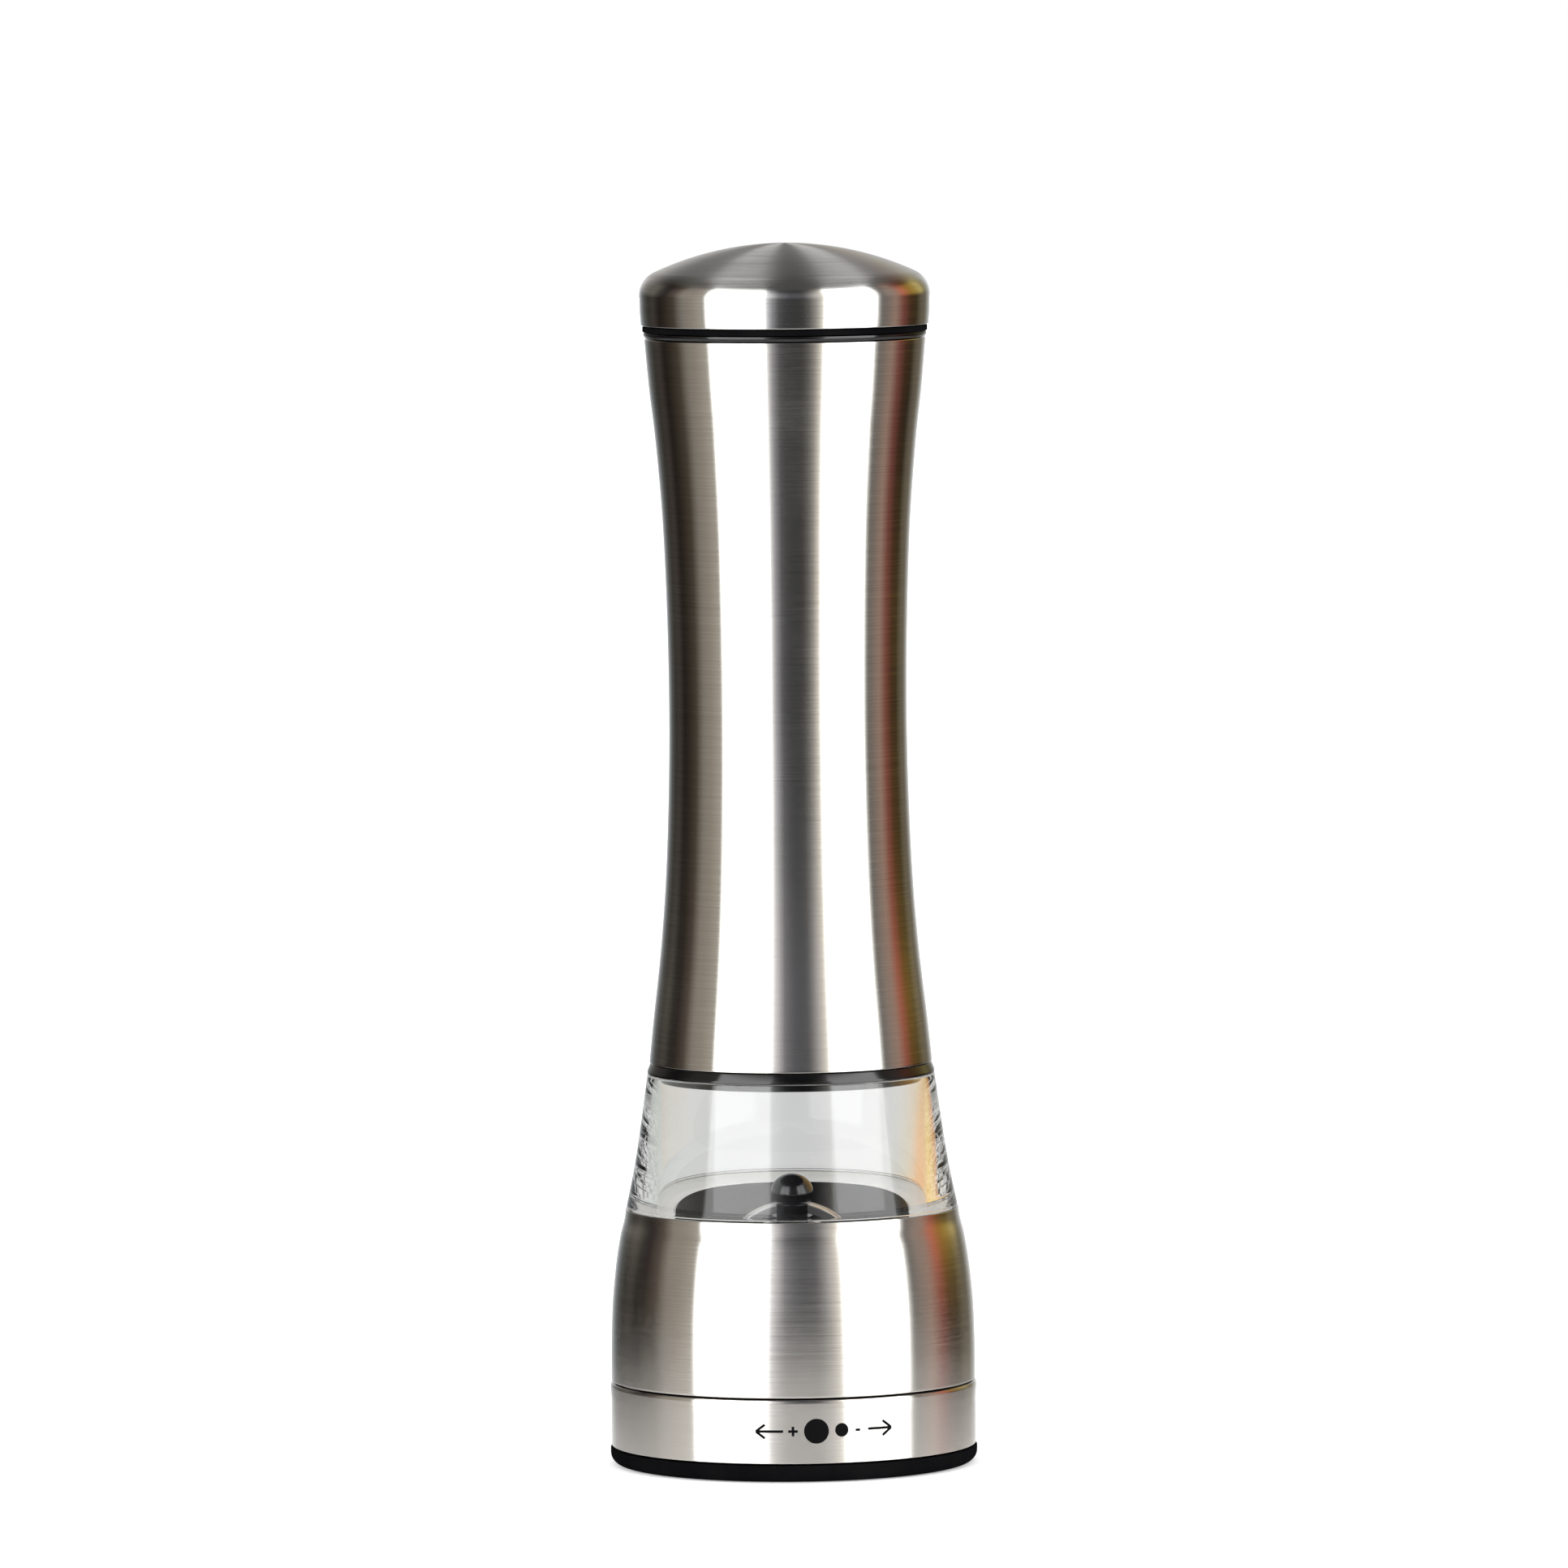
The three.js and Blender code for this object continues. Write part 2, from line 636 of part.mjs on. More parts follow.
function addHopper() {
  place('hopper_floor', hopperFloor(), blackPlastic);
  place('retaining_ring', retainingRing(), blackPlastic);
  RETAINER_SCREW_ANGLES.forEach((angle, i) => {
    place(`retainer_screw_${i + 1}`, retainerScrew(angle), brightSteel);
  });
  place('window_seat', windowSeat(), paleSilicone);
  place('window', windowCone(), acrylic);
  place('bridge', bridge(), brightSteel);
  place('bridge_screw_left', bridgeScrew(-1), brightSteel);
  place('bridge_screw_right', bridgeScrew(1), brightSteel);
  place('spindle', spindle(), brightSteel);
  place('spindle_hub', spindleHub(), blackGloss);
  place('spindle_knob', spindleKnob(), blackGloss);
  place('burr_spring', welded(coilSpring(4.6, 0.45, 28.4, 38.9, 4, 14)), brightSteel);
  place('spring_washer', washer(3.6, 5.8, ROTOR_TOP + GAP, 28.1), brightSteel);
  place('rotor_burr', rotorBurr(), ceramic);
  place('rotor_washer', washer(SPINDLE_HOLE, 5.2, 8.8, ROTOR_BOTTOM - GAP), brightSteel);
  place('spindle_nut', spindleNut(), brightSteel);
  place('bottom_collar', bottomCollar(), blackPlastic);
  place('body_shell', turned(
    tubeWall(flowing(BODY_STATIONS, BODY_STATIONS.length - 1), STEEL_WALL),
    SHELL_SEGMENTS,
  ), brushedSteel);
  place('top_collar', topCollar(), blackGloss);
}

// ---------------------------------------------------------------- cap

function capShell() {
  const crownCentre = CAP_TOP - CAP_CROWN_RADIUS;
  const cornerR = CAP_RADIUS - CAP_CORNER_RADIUS;
  const cornerRise = Math.sqrt((CAP_CROWN_RADIUS - CAP_CORNER_RADIUS) ** 2 - cornerR ** 2);
  const cornerZ = crownCentre + cornerRise;
  const meeting = THREE.MathUtils.radToDeg(Math.atan2(cornerRise, cornerR));
  const low = PLUG_FLANGE_TOP + GAP;
  const outside = [
    [25.36, low], [25.53, 203.7],
    ...arc(cornerR, cornerZ, CAP_CORNER_RADIUS, 0, meeting, 4),
    ...arc(0, crownCentre, CAP_CROWN_RADIUS, meeting, 90, 5).slice(1),
  ];
  const inside = [
    [25.36 - STEEL_WALL, low], [25.53 - STEEL_WALL, 203.7],
    ...arc(cornerR, cornerZ, CAP_CORNER_RADIUS - STEEL_WALL, 0, meeting, 3),
    ...arc(0, crownCentre, CAP_CROWN_RADIUS - STEEL_WALL, meeting, 90, 4).slice(1),
  ];
  return turned([...outside, ...inside.reverse()], SHELL_SEGMENTS);
}

// The plug's sleeve grips the cap above its flange and seals the collar below it.
function capPlug() {
  const low = 191.0;
  const sleeve = 20.9;
  const sleeveInner = 18.4;
  const grooveBottom = 193.4;
  const grooveTop = 195.4;
  const flangeBottom = COLLAR_TOP + GAP;
  const upperTop = 207.0;
  return turned([
    [sleeveInner, low], [sleeve, low], [sleeve, grooveBottom], [19.6, grooveBottom],
    [19.6, grooveTop], [sleeve, grooveTop], [sleeve, flangeBottom], [25.1, flangeBottom],
    [25.1, PLUG_FLANGE_TOP], [24.1, PLUG_FLANGE_TOP], [24.1, upperTop], [22.6, upperTop],
    [22.6, 203.0], [0, 203.0], [0, 201.6], [sleeveInner, 201.6],
  ], SHELL_SEGMENTS);
}

function capSeal() {
  const seal = new THREE.TorusGeometry(20.65, 0.65, 6, SHELL_SEGMENTS);
  seal.translate(0, 0, 194.4);
  return welded(seal);
}

function addCap() {
  place('cap_shell', capShell(), brushedSteel);
  place('cap_plug', capPlug(), blackGloss);
  place('cap_seal', capSeal(), paleSilicone);
}

// ---------------------------------------------------------------- assembly

addBase();
addCoarsenessRing();
addBurrCarrier();
addHopper();
addCap();

export default mill;
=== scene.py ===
"""A waisted steel pepper mill on a pale studio floor.

Outlines are in millimetres and turned round Z; the scene is in metres.
"""

import functools
import math

import bmesh
import bpy
from mathutils import Matrix, Vector


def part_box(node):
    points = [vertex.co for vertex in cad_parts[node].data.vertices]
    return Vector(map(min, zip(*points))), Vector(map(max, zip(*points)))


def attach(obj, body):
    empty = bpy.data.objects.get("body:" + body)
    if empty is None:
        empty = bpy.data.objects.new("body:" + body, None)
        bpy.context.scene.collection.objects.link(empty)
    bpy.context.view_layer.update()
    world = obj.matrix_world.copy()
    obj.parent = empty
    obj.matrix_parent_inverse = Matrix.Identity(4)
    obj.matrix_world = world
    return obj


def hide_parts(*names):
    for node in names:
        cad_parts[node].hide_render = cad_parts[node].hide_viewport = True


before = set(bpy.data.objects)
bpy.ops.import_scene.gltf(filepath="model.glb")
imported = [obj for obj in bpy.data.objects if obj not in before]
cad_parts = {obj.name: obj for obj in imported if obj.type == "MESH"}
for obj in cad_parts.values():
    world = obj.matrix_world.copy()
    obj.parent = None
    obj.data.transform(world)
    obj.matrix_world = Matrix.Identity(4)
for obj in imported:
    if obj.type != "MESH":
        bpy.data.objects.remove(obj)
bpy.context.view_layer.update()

MM = 0.001
TURN = 2 * math.pi
# Steps round a turned piece, and up a burr's side.
FINE = 192
MEDIUM = 96
SIDE_STEPS = 14

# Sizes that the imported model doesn't state as a box of its own.
STEEL_WALL = 0.8
THREAD_LEAD = 4.0
THREAD_HEIGHT = 1.2
BURR_FLUTES = 12
BURR_WAIST = 18.5
BURR_CLEARANCE = 0.9
STRAP_RADIUS = 14.0
STRAP_THICKNESS = 1.5
CAP_CROWN_RADIUS = 54.8
CAP_CORNER_RADIUS = 4.5

# The camera looks slightly down along the mill's front.
CAMERA_DISTANCE = 2.3855
CAMERA_HEIGHT = 0.2883
CAMERA_ASIDE = -0.0008
CAMERA_PITCH = math.radians(4.03)
CAMERA_ROLL = math.radians(0.48)
CAMERA_LENS = 311.0


# ---------------------------------------------------------------- outlines


@functools.cache
def span(node):
    """Outer radius, lowest and highest point of a CAD node, in millimetres."""
    low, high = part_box(node)
    return (high.x - low.x) / 2 / MM, low.z / MM, high.z / MM


def polar(centre, radius, degrees):
    angle = math.radians(degrees)
    return centre[0] + radius * math.cos(angle), centre[1] + radius * math.sin(angle)


def arc(centre, radius, start, end, steps):
    return [polar(centre, radius, start + (end - start) * i / steps) for i in range(steps + 1)]


def flowing(stations, steps_each=8):
    """A smooth line through its stations, each stretch a uniform Catmull-Rom spline."""
    ends = [stations[0], *stations, stations[-1]]
    points = []
    for before, here, there, after in zip(ends, ends[1:], ends[2:], ends[3:]):
        for i in range(steps_each):
            t = i / steps_each
            points.append(tuple(
                0.5 * (2 * b + (c - a) * t + (2 * a - 5 * b + 4 * c - d) * t**2
                       + (3 * b - a - 3 * c + d) * t**3)
                for a, b, c, d in zip(before, here, there, after)
            ))
    return [*points, stations[-1]]


def inset(points, wall):
    return [(r - wall, z) for r, z in points]


def rounded(outline, radius, steps=4, least_turn=25):
    """The closed outline, with corners that turn more than least_turn degrees eased by a curve."""
    result = []
    for i, corner in enumerate(outline):
        corner = Vector(corner)
        back = Vector(outline[i - 1]) - corner
        ahead = Vector(outline[(i + 1) % len(outline)]) - corner
        turn = 180 - math.degrees(back.angle(ahead, math.pi))
        if turn < least_turn or corner.x < 1e-6:
            result.append(tuple(corner))
            continue
        start = corner + back.normalized() * min(radius, back.length * 0.45)
        end = corner + ahead.normalized() * min(radius, ahead.length * 0.45)
        for k in range(steps + 1):
            t = k / steps
            result.append(tuple(start * (1 - t)**2 + corner * 2 * t * (1 - t) + end * t**2))
    return result


# ---------------------------------------------------------------- mesh building


def make_object(name, vertices, faces, material, body, nodes=(), weighted=True):
    mesh = bpy.data.meshes.new(name)
    mesh.from_pydata([tuple(c * MM for c in v) for v in vertices], [], faces)
    mesh.validate()
    tidy = bmesh.new()
    tidy.from_mesh(mesh)
    bmesh.ops.recalc_face_normals(tidy, faces=tidy.faces)
    tidy.to_mesh(mesh)
    tidy.free()
    mesh.shade_smooth()
    mesh.materials.append(material)
    piece = bpy.data.objects.new(name, mesh)
    bpy.context.scene.collection.objects.link(piece)
    if weighted:
        piece.modifiers.new("weighted_normals", "WEIGHTED_NORMAL").keep_sharp = True
    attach(piece, body)
    if nodes:
        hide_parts(*nodes)
    return piece


def revolve_geometry(outline_at, segments, centre=(0.0, 0.0)):
    """Vertices and faces of a closed outline carried round Z. outline_at gives it at each angle."""
    count = len(outline_at(0.0))
    vertices = []
    rows = []
    for i in range(segments):
        angle = TURN * i / segments
        row = []
        for k, (r, z) in enumerate(outline_at(angle)):
            if r < 1e-6 and i > 0:
                row.append(rows[0][k])
                continue
            row.append(len(vertices))
            vertices.append((centre[0] + r * math.cos(angle), centre[1] + r * math.sin(angle), z))
        rows.append(row)
    faces = []
    for i in range(segments):
        here, there = rows[i], rows[(i + 1) % segments]
        for k in range(count):
            after = (k + 1) % count
            ring = [here[k], there[k], there[after], here[after]]
            corners = [v for j, v in enumerate(ring) if v not in ring[:j]]
            if len(corners) > 2:
                faces.append(corners)
    return vertices, faces


def revolve(name, outline, material, body, nodes=None, segments=FINE, ease=0.2, centre=(0.0, 0.0)):
    """A turned piece that stands for the CAD node of the same name, unless nodes says otherwise."""
    if callable(outline):
        outline_at = outline
    else:
        eased = rounded(outline, ease)
        outline_at = lambda angle: eased
    vertices, faces = revolve_geometry(outline_at, segments, centre)
    return make_object(name, vertices, faces, material, body, (name,) if nodes is None else nodes)


def sweep(rings):
    """Vertices and faces of a tube through equal rings of points, closed at both ends."""
    width = len(rings[0])
    vertices = [p for ring in rings for p in ring]
    faces = []
    for i in range(len(rings) - 1):
        for k in range(width):
            a, b = i * width + k, i * width + (k + 1) % width
            faces.append((a, b, b + width, a + width))
    faces.append(tuple(range(width)))
    faces.append(tuple(range(len(vertices) - width, len(vertices))))
    return vertices, faces


def carve(piece, tools):
    """Cuts boxes out of a piece; each tool is (size, centre, turn about Z), in mm and degrees."""
    for size, centre, degrees in tools:
        tool_mesh = bpy.data.meshes.new("tool")
        build = bmesh.new()
        bmesh.ops.create_cube(build, size=1.0, matrix=(
            Matrix.Translation(Vector(centre) * MM)
            @ Matrix.Rotation(math.radians(degrees), 4, "Z")
            @ Matrix.Diagonal((*(Vector(size) * MM), 1.0))
        ))
        build.to_mesh(tool_mesh)
        build.free()
        tool = bpy.data.objects.new("tool", tool_mesh)
        bpy.context.scene.collection.objects.link(tool)
        cutter = piece.modifiers.new("cut", "BOOLEAN")
        cutter.operation = "DIFFERENCE"
        cutter.solver = "EXACT"
        cutter.object = tool
        piece.modifiers.move(len(piece.modifiers) - 1, 0)
        graph = bpy.context.evaluated_depsgraph_get()
        result = bpy.data.meshes.new_from_object(piece.evaluated_get(graph))
        piece.modifiers.remove(cutter)
        piece.data = result
        bpy.data.objects.remove(tool)
    return piece


# ---------------------------------------------------------------- materials


def new_material(name, **sockets):
    material = bpy.data.materials.new(name)
    material.use_nodes = True
    shader = material.node_tree.nodes["Principled BSDF"]
    for socket, value in sockets.items():
        shader.inputs[socket.replace("_", " ")].default_value = value
    return material, material.node_tree, shader


def stretched_noise(tree, stretch, detail=3.0, roughness=0.6):
    """Noise in object space with its own scale along X, Y and Z, in features per metre."""
    place = tree.nodes.new("ShaderNodeTexCoord")
    scale = tree.nodes.new("ShaderNodeMapping")
    scale.inputs["Scale"].default_value = stretch
    noise = tree.nodes.new("ShaderNodeTexNoise")
    noise.inputs["Scale"].default_value = 1.0
    noise.inputs["Detail"].default_value = detail
    noise.inputs["Roughness"].default_value = roughness
    tree.links.new(place.outputs["Object"], scale.inputs["Vector"])
    tree.links.new(scale.outputs["Vector"], noise.inputs["Vector"])
    return noise.outputs["Fac"]


def spread(tree, value, low, high, start=0.3, end=0.7):
    """Maps a noise value onto a range of its own."""
    remap = tree.nodes.new("ShaderNodeMapRange")
    remap.inputs["From Min"].default_value = start
    remap.inputs["From Max"].default_value = end
    remap.inputs["To Min"].default_value = low
    remap.inputs["To Max"].default_value = high
    tree.links.new(value, remap.inputs["Value"])
    return remap.outputs["Result"]


def tinted(tree, value, dark, light):
    """A colour between two tones, chosen by a value from 0 to 1."""
    ramp = tree.nodes.new("ShaderNodeMix")
    ramp.data_type = "RGBA"
    ramp.inputs["A"].default_value = (*dark, 1.0)
    ramp.inputs["B"].default_value = (*light, 1.0)
    tree.links.new(value, ramp.inputs["Factor"])
    return ramp.outputs["Result"]


def add_bump(tree, shader, height, strength, distance):
    bump = tree.nodes.new("ShaderNodeBump")
    bump.inputs["Strength"].default_value = strength
    bump.inputs["Distance"].default_value = distance
    tree.links.new(height, bump.inputs["Height"])
    tree.links.new(bump.outputs["Normal"], shader.inputs["Normal"])


def turned_steel(name, dark, light, side_gloss, crown_gloss):
    """Stainless steel brushed round the axis, each gloss being (smoothest, roughest).

    The crown gloss takes over where a face leans back, as it does over the cap's corner.
    """
    material, tree, shader = new_material(
        name, Metallic=1.0, Anisotropic=0.97, Anisotropic_Rotation=0.25)
    grain = stretched_noise(tree, (45.0, 45.0, 5200.0), detail=4.0, roughness=0.75)
    scratches = stretched_noise(tree, (140.0, 140.0, 16000.0), detail=2.0, roughness=0.8)
    patches = stretched_noise(tree, (55.0, 55.0, 38.0), detail=2.0)
    both = tree.nodes.new("ShaderNodeMath")
    both.operation = "MULTIPLY_ADD"
    both.inputs[1].default_value = 0.6
    tree.links.new(patches, both.inputs[0])
    tree.links.new(grain, both.inputs[2])
    place = tree.nodes.new("ShaderNodeTexCoord")
    facing = tree.nodes.new("ShaderNodeSeparateXYZ")
    tree.links.new(place.outputs["Normal"], facing.inputs["Vector"])
    side = spread(tree, both.outputs[0], *side_gloss, 0.5, 1.1)
    crown = spread(tree, both.outputs[0], *crown_gloss, 0.5, 1.1)
    blend = tree.nodes.new("ShaderNodeMix")
    tree.links.new(spread(tree, facing.outputs["Z"], 0.0, 1.0, 0.45, 0.8), blend.inputs["Factor"])
    tree.links.new(side, blend.inputs["A"])
    tree.links.new(crown, blend.inputs["B"])
    tree.links.new(blend.outputs["Result"], shader.inputs["Roughness"])
    tree.links.new(tinted(tree, spread(tree, grain, 0.0, 1.0), dark, light),
                   shader.inputs["Base Color"])
    tangent = tree.nodes.new("ShaderNodeTangent")
    tangent.direction_type = "RADIAL"
    tangent.axis = "Z"
    tree.links.new(tangent.outputs["Tangent"], shader.inputs["Tangent"])
    add_bump(tree, shader, scratches, 0.08, 0.00001)
    return material


def moulded(name, dark, light, smoothest, roughest, grain_size, relief, specular=0.5):
    """Injection-moulded plastic with a fine skin and slightly uneven gloss."""
    material, tree, shader = new_material(name, IOR=1.49, Specular_IOR_Level=specular)
    skin = stretched_noise(tree, (1 / grain_size,) * 3, detail=2.0)
    patches = stretched_noise(tree, (90.0,) * 3, detail=3.0)
    tree.links.new(spread(tree, patches, smoothest, roughest), shader.inputs["Roughness"])
    tree.links.new(tinted(tree, spread(tree, patches, 0.0, 1.0), dark, light),
                   shader.inputs["Base Color"])
    add_bump(tree, shader, skin, relief, 0.00002)
    return material


def clear_acrylic():
    """Polished acrylic, with a trace of handling haze."""
    material, tree, shader = new_material(
        "clear_acrylic", Transmission_Weight=1.0, IOR=1.49, Base_Color=(0.985, 0.992, 0.988, 1.0))
    haze = stretched_noise(tree, (70.0, 70.0, 110.0), detail=4.0)
    tree.links.new(spread(tree, haze, 0.0, 0.018, 0.45, 0.8), shader.inputs["Roughness"])
    return material


def soft_silicone(name, dark, light, glow):
    """Translucent silicone; the painted glow stands in for light piped into it by a clear
    neighbour.
    """
    material, tree, shader = new_material(
        name, Subsurface_Weight=0.6, Subsurface_Radius=(0.002, 0.002, 0.0018), IOR=1.42,
        Emission_Color=(1.0, 1.0, 0.98, 1.0), Emission_Strength=glow)
    cloud = stretched_noise(tree, (260.0,) * 3, detail=3.0)
    tree.links.new(tinted(tree, cloud, dark, light), shader.inputs["Base Color"])
    tree.links.new(spread(tree, cloud, 0.35, 0.5), shader.inputs["Roughness"])
    return material


def fired_ceramic():
    """Off-white unglazed ceramic with a faint speckle and a sandy tooth."""
    material, tree, shader = new_material("fired_ceramic", IOR=1.6)
    speckle = stretched_noise(tree, (2600.0,) * 3, detail=3.0)
    tree.links.new(tinted(tree, spread(tree, speckle, 0.0, 1.0), (0.74, 0.71, 0.64),
                          (0.86, 0.84, 0.79)), shader.inputs["Base Color"])
    tree.links.new(spread(tree, speckle, 0.34, 0.55), shader.inputs["Roughness"])
    add_bump(tree, shader, speckle, 0.25, 0.00003)
    return material


def floor_paper():
    material, tree, shader = new_material(
        "floor_paper", Roughness=0.8, Emission_Color=(1.0, 1.0, 1.0, 1.0), Emission_Strength=0.3)
    fibre = stretched_noise(tree, (900.0,) * 3, detail=2.0)
    tree.links.new(tinted(tree, fibre, (0.95, 0.95, 0.95), (0.97, 0.97, 0.97)),
                   shader.inputs["Base Color"])
    return material


def painted_light_pool():
    """Floor paper as the steel mirrors it: a painted pool of light before the mill that fades
    outwards.
    """
    material, tree, shader = new_material(
        "painted_light_pool", Roughness=0.8, Base_Color=(0.9, 0.89, 0.88, 1))
    place = tree.nodes.new("ShaderNodeTexCoord")
    away = tree.nodes.new("ShaderNodeVectorMath")
    away.operation = "DISTANCE"
    away.inputs[1].default_value = (0.0, -0.10, 0.0)
    tree.links.new(place.outputs["Object"], away.inputs[0])
    # The painted light is strongest near a point before the mill and fades out with distance from
    # it.
    tree.links.new(spread(tree, away.outputs["Value"], 0.65, 0.0, 0.07, 0.28),
                   shader.inputs["Alpha"])
    return material


brushed_steel = turned_steel(
    "brushed_steel", (0.56, 0.54, 0.51), (0.67, 0.65, 0.62), (0.12, 0.21), (0.12, 0.21))
cap_steel = turned_steel(
    "cap_steel", (0.56, 0.55, 0.53), (0.67, 0.66, 0.64), (0.11, 0.19), (0.32, 0.42))
bright_steel = turned_steel(
    "bright_steel", (0.60, 0.60, 0.60), (0.72, 0.72, 0.71), (0.15, 0.25), (0.15, 0.25))
strap_steel = turned_steel(
    "strap_steel", (0.70, 0.69, 0.68), (0.82, 0.82, 0.81), (0.35, 0.45), (0.35, 0.45))
black_gloss = moulded("black_gloss", (0.0020, 0.0020, 0.0023), (0.0035, 0.0035, 0.0038), 0.06, 0.13,
                      0.0006, 0.05, 0.5)
black_polished = moulded("black_polished", (0.0020, 0.0020, 0.0023), (0.0035, 0.0035, 0.0038), 0.06,
                         0.13, 0.0006, 0.05, 0.9)
black_satin = moulded("black_satin", (0.006, 0.006, 0.006), (0.012, 0.012, 0.012), 0.26, 0.40,
                      0.0004, 0.25, 0.35)
white_acetal = moulded("white_acetal", (0.74, 0.74, 0.71), (0.80, 0.80, 0.77), 0.30, 0.42,
                       0.0005, 0.1)
black_matt = moulded("black_matt", (0.003, 0.003, 0.0035), (0.006, 0.006, 0.0065), 0.42, 0.55,
                     0.0004, 0.3, 0.0)
printed_ink = moulded("printed_ink", (0.0025, 0.0025, 0.0028), (0.0045, 0.0045, 0.005), 0.45, 0.6,
                      0.0003, 0.1, 0.02)
acrylic = clear_acrylic()
# The seat's silicone carries a painted glow; the grey silicone carries none.
milky_silicone = soft_silicone("milky_silicone", (0.70, 0.69, 0.66), (0.82, 0.81, 0.79), 0.36)
grey_silicone = soft_silicone("grey_silicone", (0.22, 0.22, 0.21), (0.30, 0.30, 0.29), 0.0)
ceramic = fired_ceramic()


# ---------------------------------------------------------------- cap


def cap_outline():
    top_radius, low, top = span("cap_shell")
    crown = (0.0, top - CAP_CROWN_RADIUS)
    corner_r = top_radius - CAP_CORNER_RADIUS
    rise = math.sqrt((CAP_CROWN_RADIUS - CAP_CORNER_RADIUS)**2 - corner_r**2)
    corner = (corner_r, crown[1] + rise)
    meeting = math.degrees(math.atan2(rise, corner_r))

    def surface(depth):
        foot = top_radius - 0.24 - depth
        return [
            (foot, low), (foot + 0.17, low + 2.3),
            *arc(corner, CAP_CORNER_RADIUS - depth, 0, meeting, 14),
            *arc(crown, CAP_CROWN_RADIUS - depth, meeting, 90, 26)[1:],
        ]

    return [*surface(0.0), *reversed(surface(STEEL_WALL))]


def plug_outline():
    flange, low, top = span("cap_plug")
    flange_low = span("top_collar")[2] + 0.15
    flange_top = span("cap_shell")[1] - 0.15
    return [
        (18.4, low), (20.9, low), (20.9, low + 2.4), (19.6, low + 2.4), (19.6, low + 4.4),
        (20.9, low + 4.4), (20.9, flange_low), (flange, flange_low), (flange, flange_top),
        (24.1, flange_top), (24.1, top), (22.6, top), (22.6, top - 4.0), (0.0, top - 4.0),
        (0.0, top - 5.4), (18.4, top - 5.4),
    ]


def build_cap():
    revolve("cap_shell", cap_outline(), cap_steel, "cap", ease=0.18)
    revolve("cap_plug", plug_outline(), black_matt, "cap")
    radius, low, high = span("cap_seal")
    ring = arc((radius - 0.65, (low + high) / 2), 0.65, 0, 337.5, 15)
    revolve("cap_seal", ring, grey_silicone, "cap", ease=0.0)


# ---------------------------------------------------------------- body and window


def body_outline():
    foot, low, top = span("body_shell")
    stations = [
        (foot, low), (24.25, 78.5), (22.7, 92.3), (21.65, 107.0), (21.05, 126.0), (21.1, 145.0),
        (21.75, 165.0), (22.9, 180.2), (24.0, 190.0), (24.8, top),
    ]
    outside = flowing(stations)
    return [*outside, *reversed(inset(outside, STEEL_WALL))]


def top_collar_outline():
    flange, low, top = span("top_collar")
    flange_low = span("body_shell")[2] + 0.12
    return [
        (21.6, low), (22.9, low), (22.9, flange_low), (flange - 0.35, flange_low),
        (flange, top - 0.42), (flange, top), (21.6, top),
    ]


def bottom_collar_outline():
    band, low, top = span("bottom_collar")
    band_low = span("window")[2] + 0.12
    band_top = span("body_shell")[1] - 0.12
    return [
        (21.2, low), (23.4, low), (23.4, band_low), (band - 0.05, band_low), (band, band_low + 0.1),
        (band - 0.03, band_low + 0.5), (band - 0.6, band_top), (22.9, band_top), (22.9, top),
        (21.2, top),
    ]


def window_outline():
    foot, low, top = span("window")
    shoulder = span("base_shell")[2] + 0.3
    outside = flowing([(foot, shoulder), (27.9, 52.3), (26.75, 59.4), (25.4, top)])
    return [(27.6, low), (27.6, shoulder), *outside, (23.9, top), (24.3, 52.0), (24.5, low)]


def window_seat_outline():
    outer, low, top = span("window_seat")
    bed = span("window")[1] - 0.15
    return [
        (21.3, low), (outer, low), (outer, top), (27.8, top), (27.8, bed), (24.3, bed),
        (24.3, 43.4), (21.3, 43.4),
    ]


def build_body():
    revolve("body_shell", body_outline(), brushed_steel, "hopper", ease=0.15)
    revolve("top_collar", top_collar_outline(), black_gloss, "hopper", ease=0.12)
    revolve("bottom_collar", bottom_collar_outline(), black_gloss, "hopper")
    revolve("window", window_outline(), acrylic, "hopper", ease=0.25)


# ---------------------------------------------------------------- hopper floor and spindle


def floor_outline():
    flange, low, top = span("hopper_floor")
    rim = 21.0
    flange_top = 40.9
    return [
        (11.5, low), (16.0, low), (16.0, 38.6), (flange, 38.6), (flange, flange_top),
        (rim, flange_top), *arc((rim - 0.9, top - 0.9), 0.9, 0, 90, 6), (rim - 1.6, top - 0.12),
        (11.5, 39.3),
    ]


def strap_outline():
    reach, low, top = span("bridge")
    centre = (0.0, top - STRAP_RADIUS)
    inner = STRAP_RADIUS - STRAP_THICKNESS
    foot_top = low + STRAP_THICKNESS
    outer_end = math.degrees(math.asin((foot_top - centre[1]) / STRAP_RADIUS))
    inner_end = math.degrees(math.asin((low - centre[1]) / inner))
    return [
        (reach, low), (reach, foot_top), *arc(centre, STRAP_RADIUS, outer_end, 180 - outer_end, 32),
        (-reach, foot_top), (-reach, low), *arc(centre, inner, 180 - inner_end, inner_end, 32),
    ]


def build_bridge():
    low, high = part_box("bridge")
    front, back = low.y / MM, high.y / MM
    rings = [[(x, y, z) for x, z in strap_outline()] for y in (front, back)]
    vertices, faces = sweep(rings)
    strap = make_object("bridge", vertices, faces, strap_steel, "hopper", ("bridge",), False)
    edge = strap.modifiers.new("eased_edges", "BEVEL")
    edge.width = 0.25 * MM
    edge.segments = 3
    edge.limit_method = "ANGLE"
    strap.modifiers.new("weighted_normals", "WEIGHTED_NORMAL")


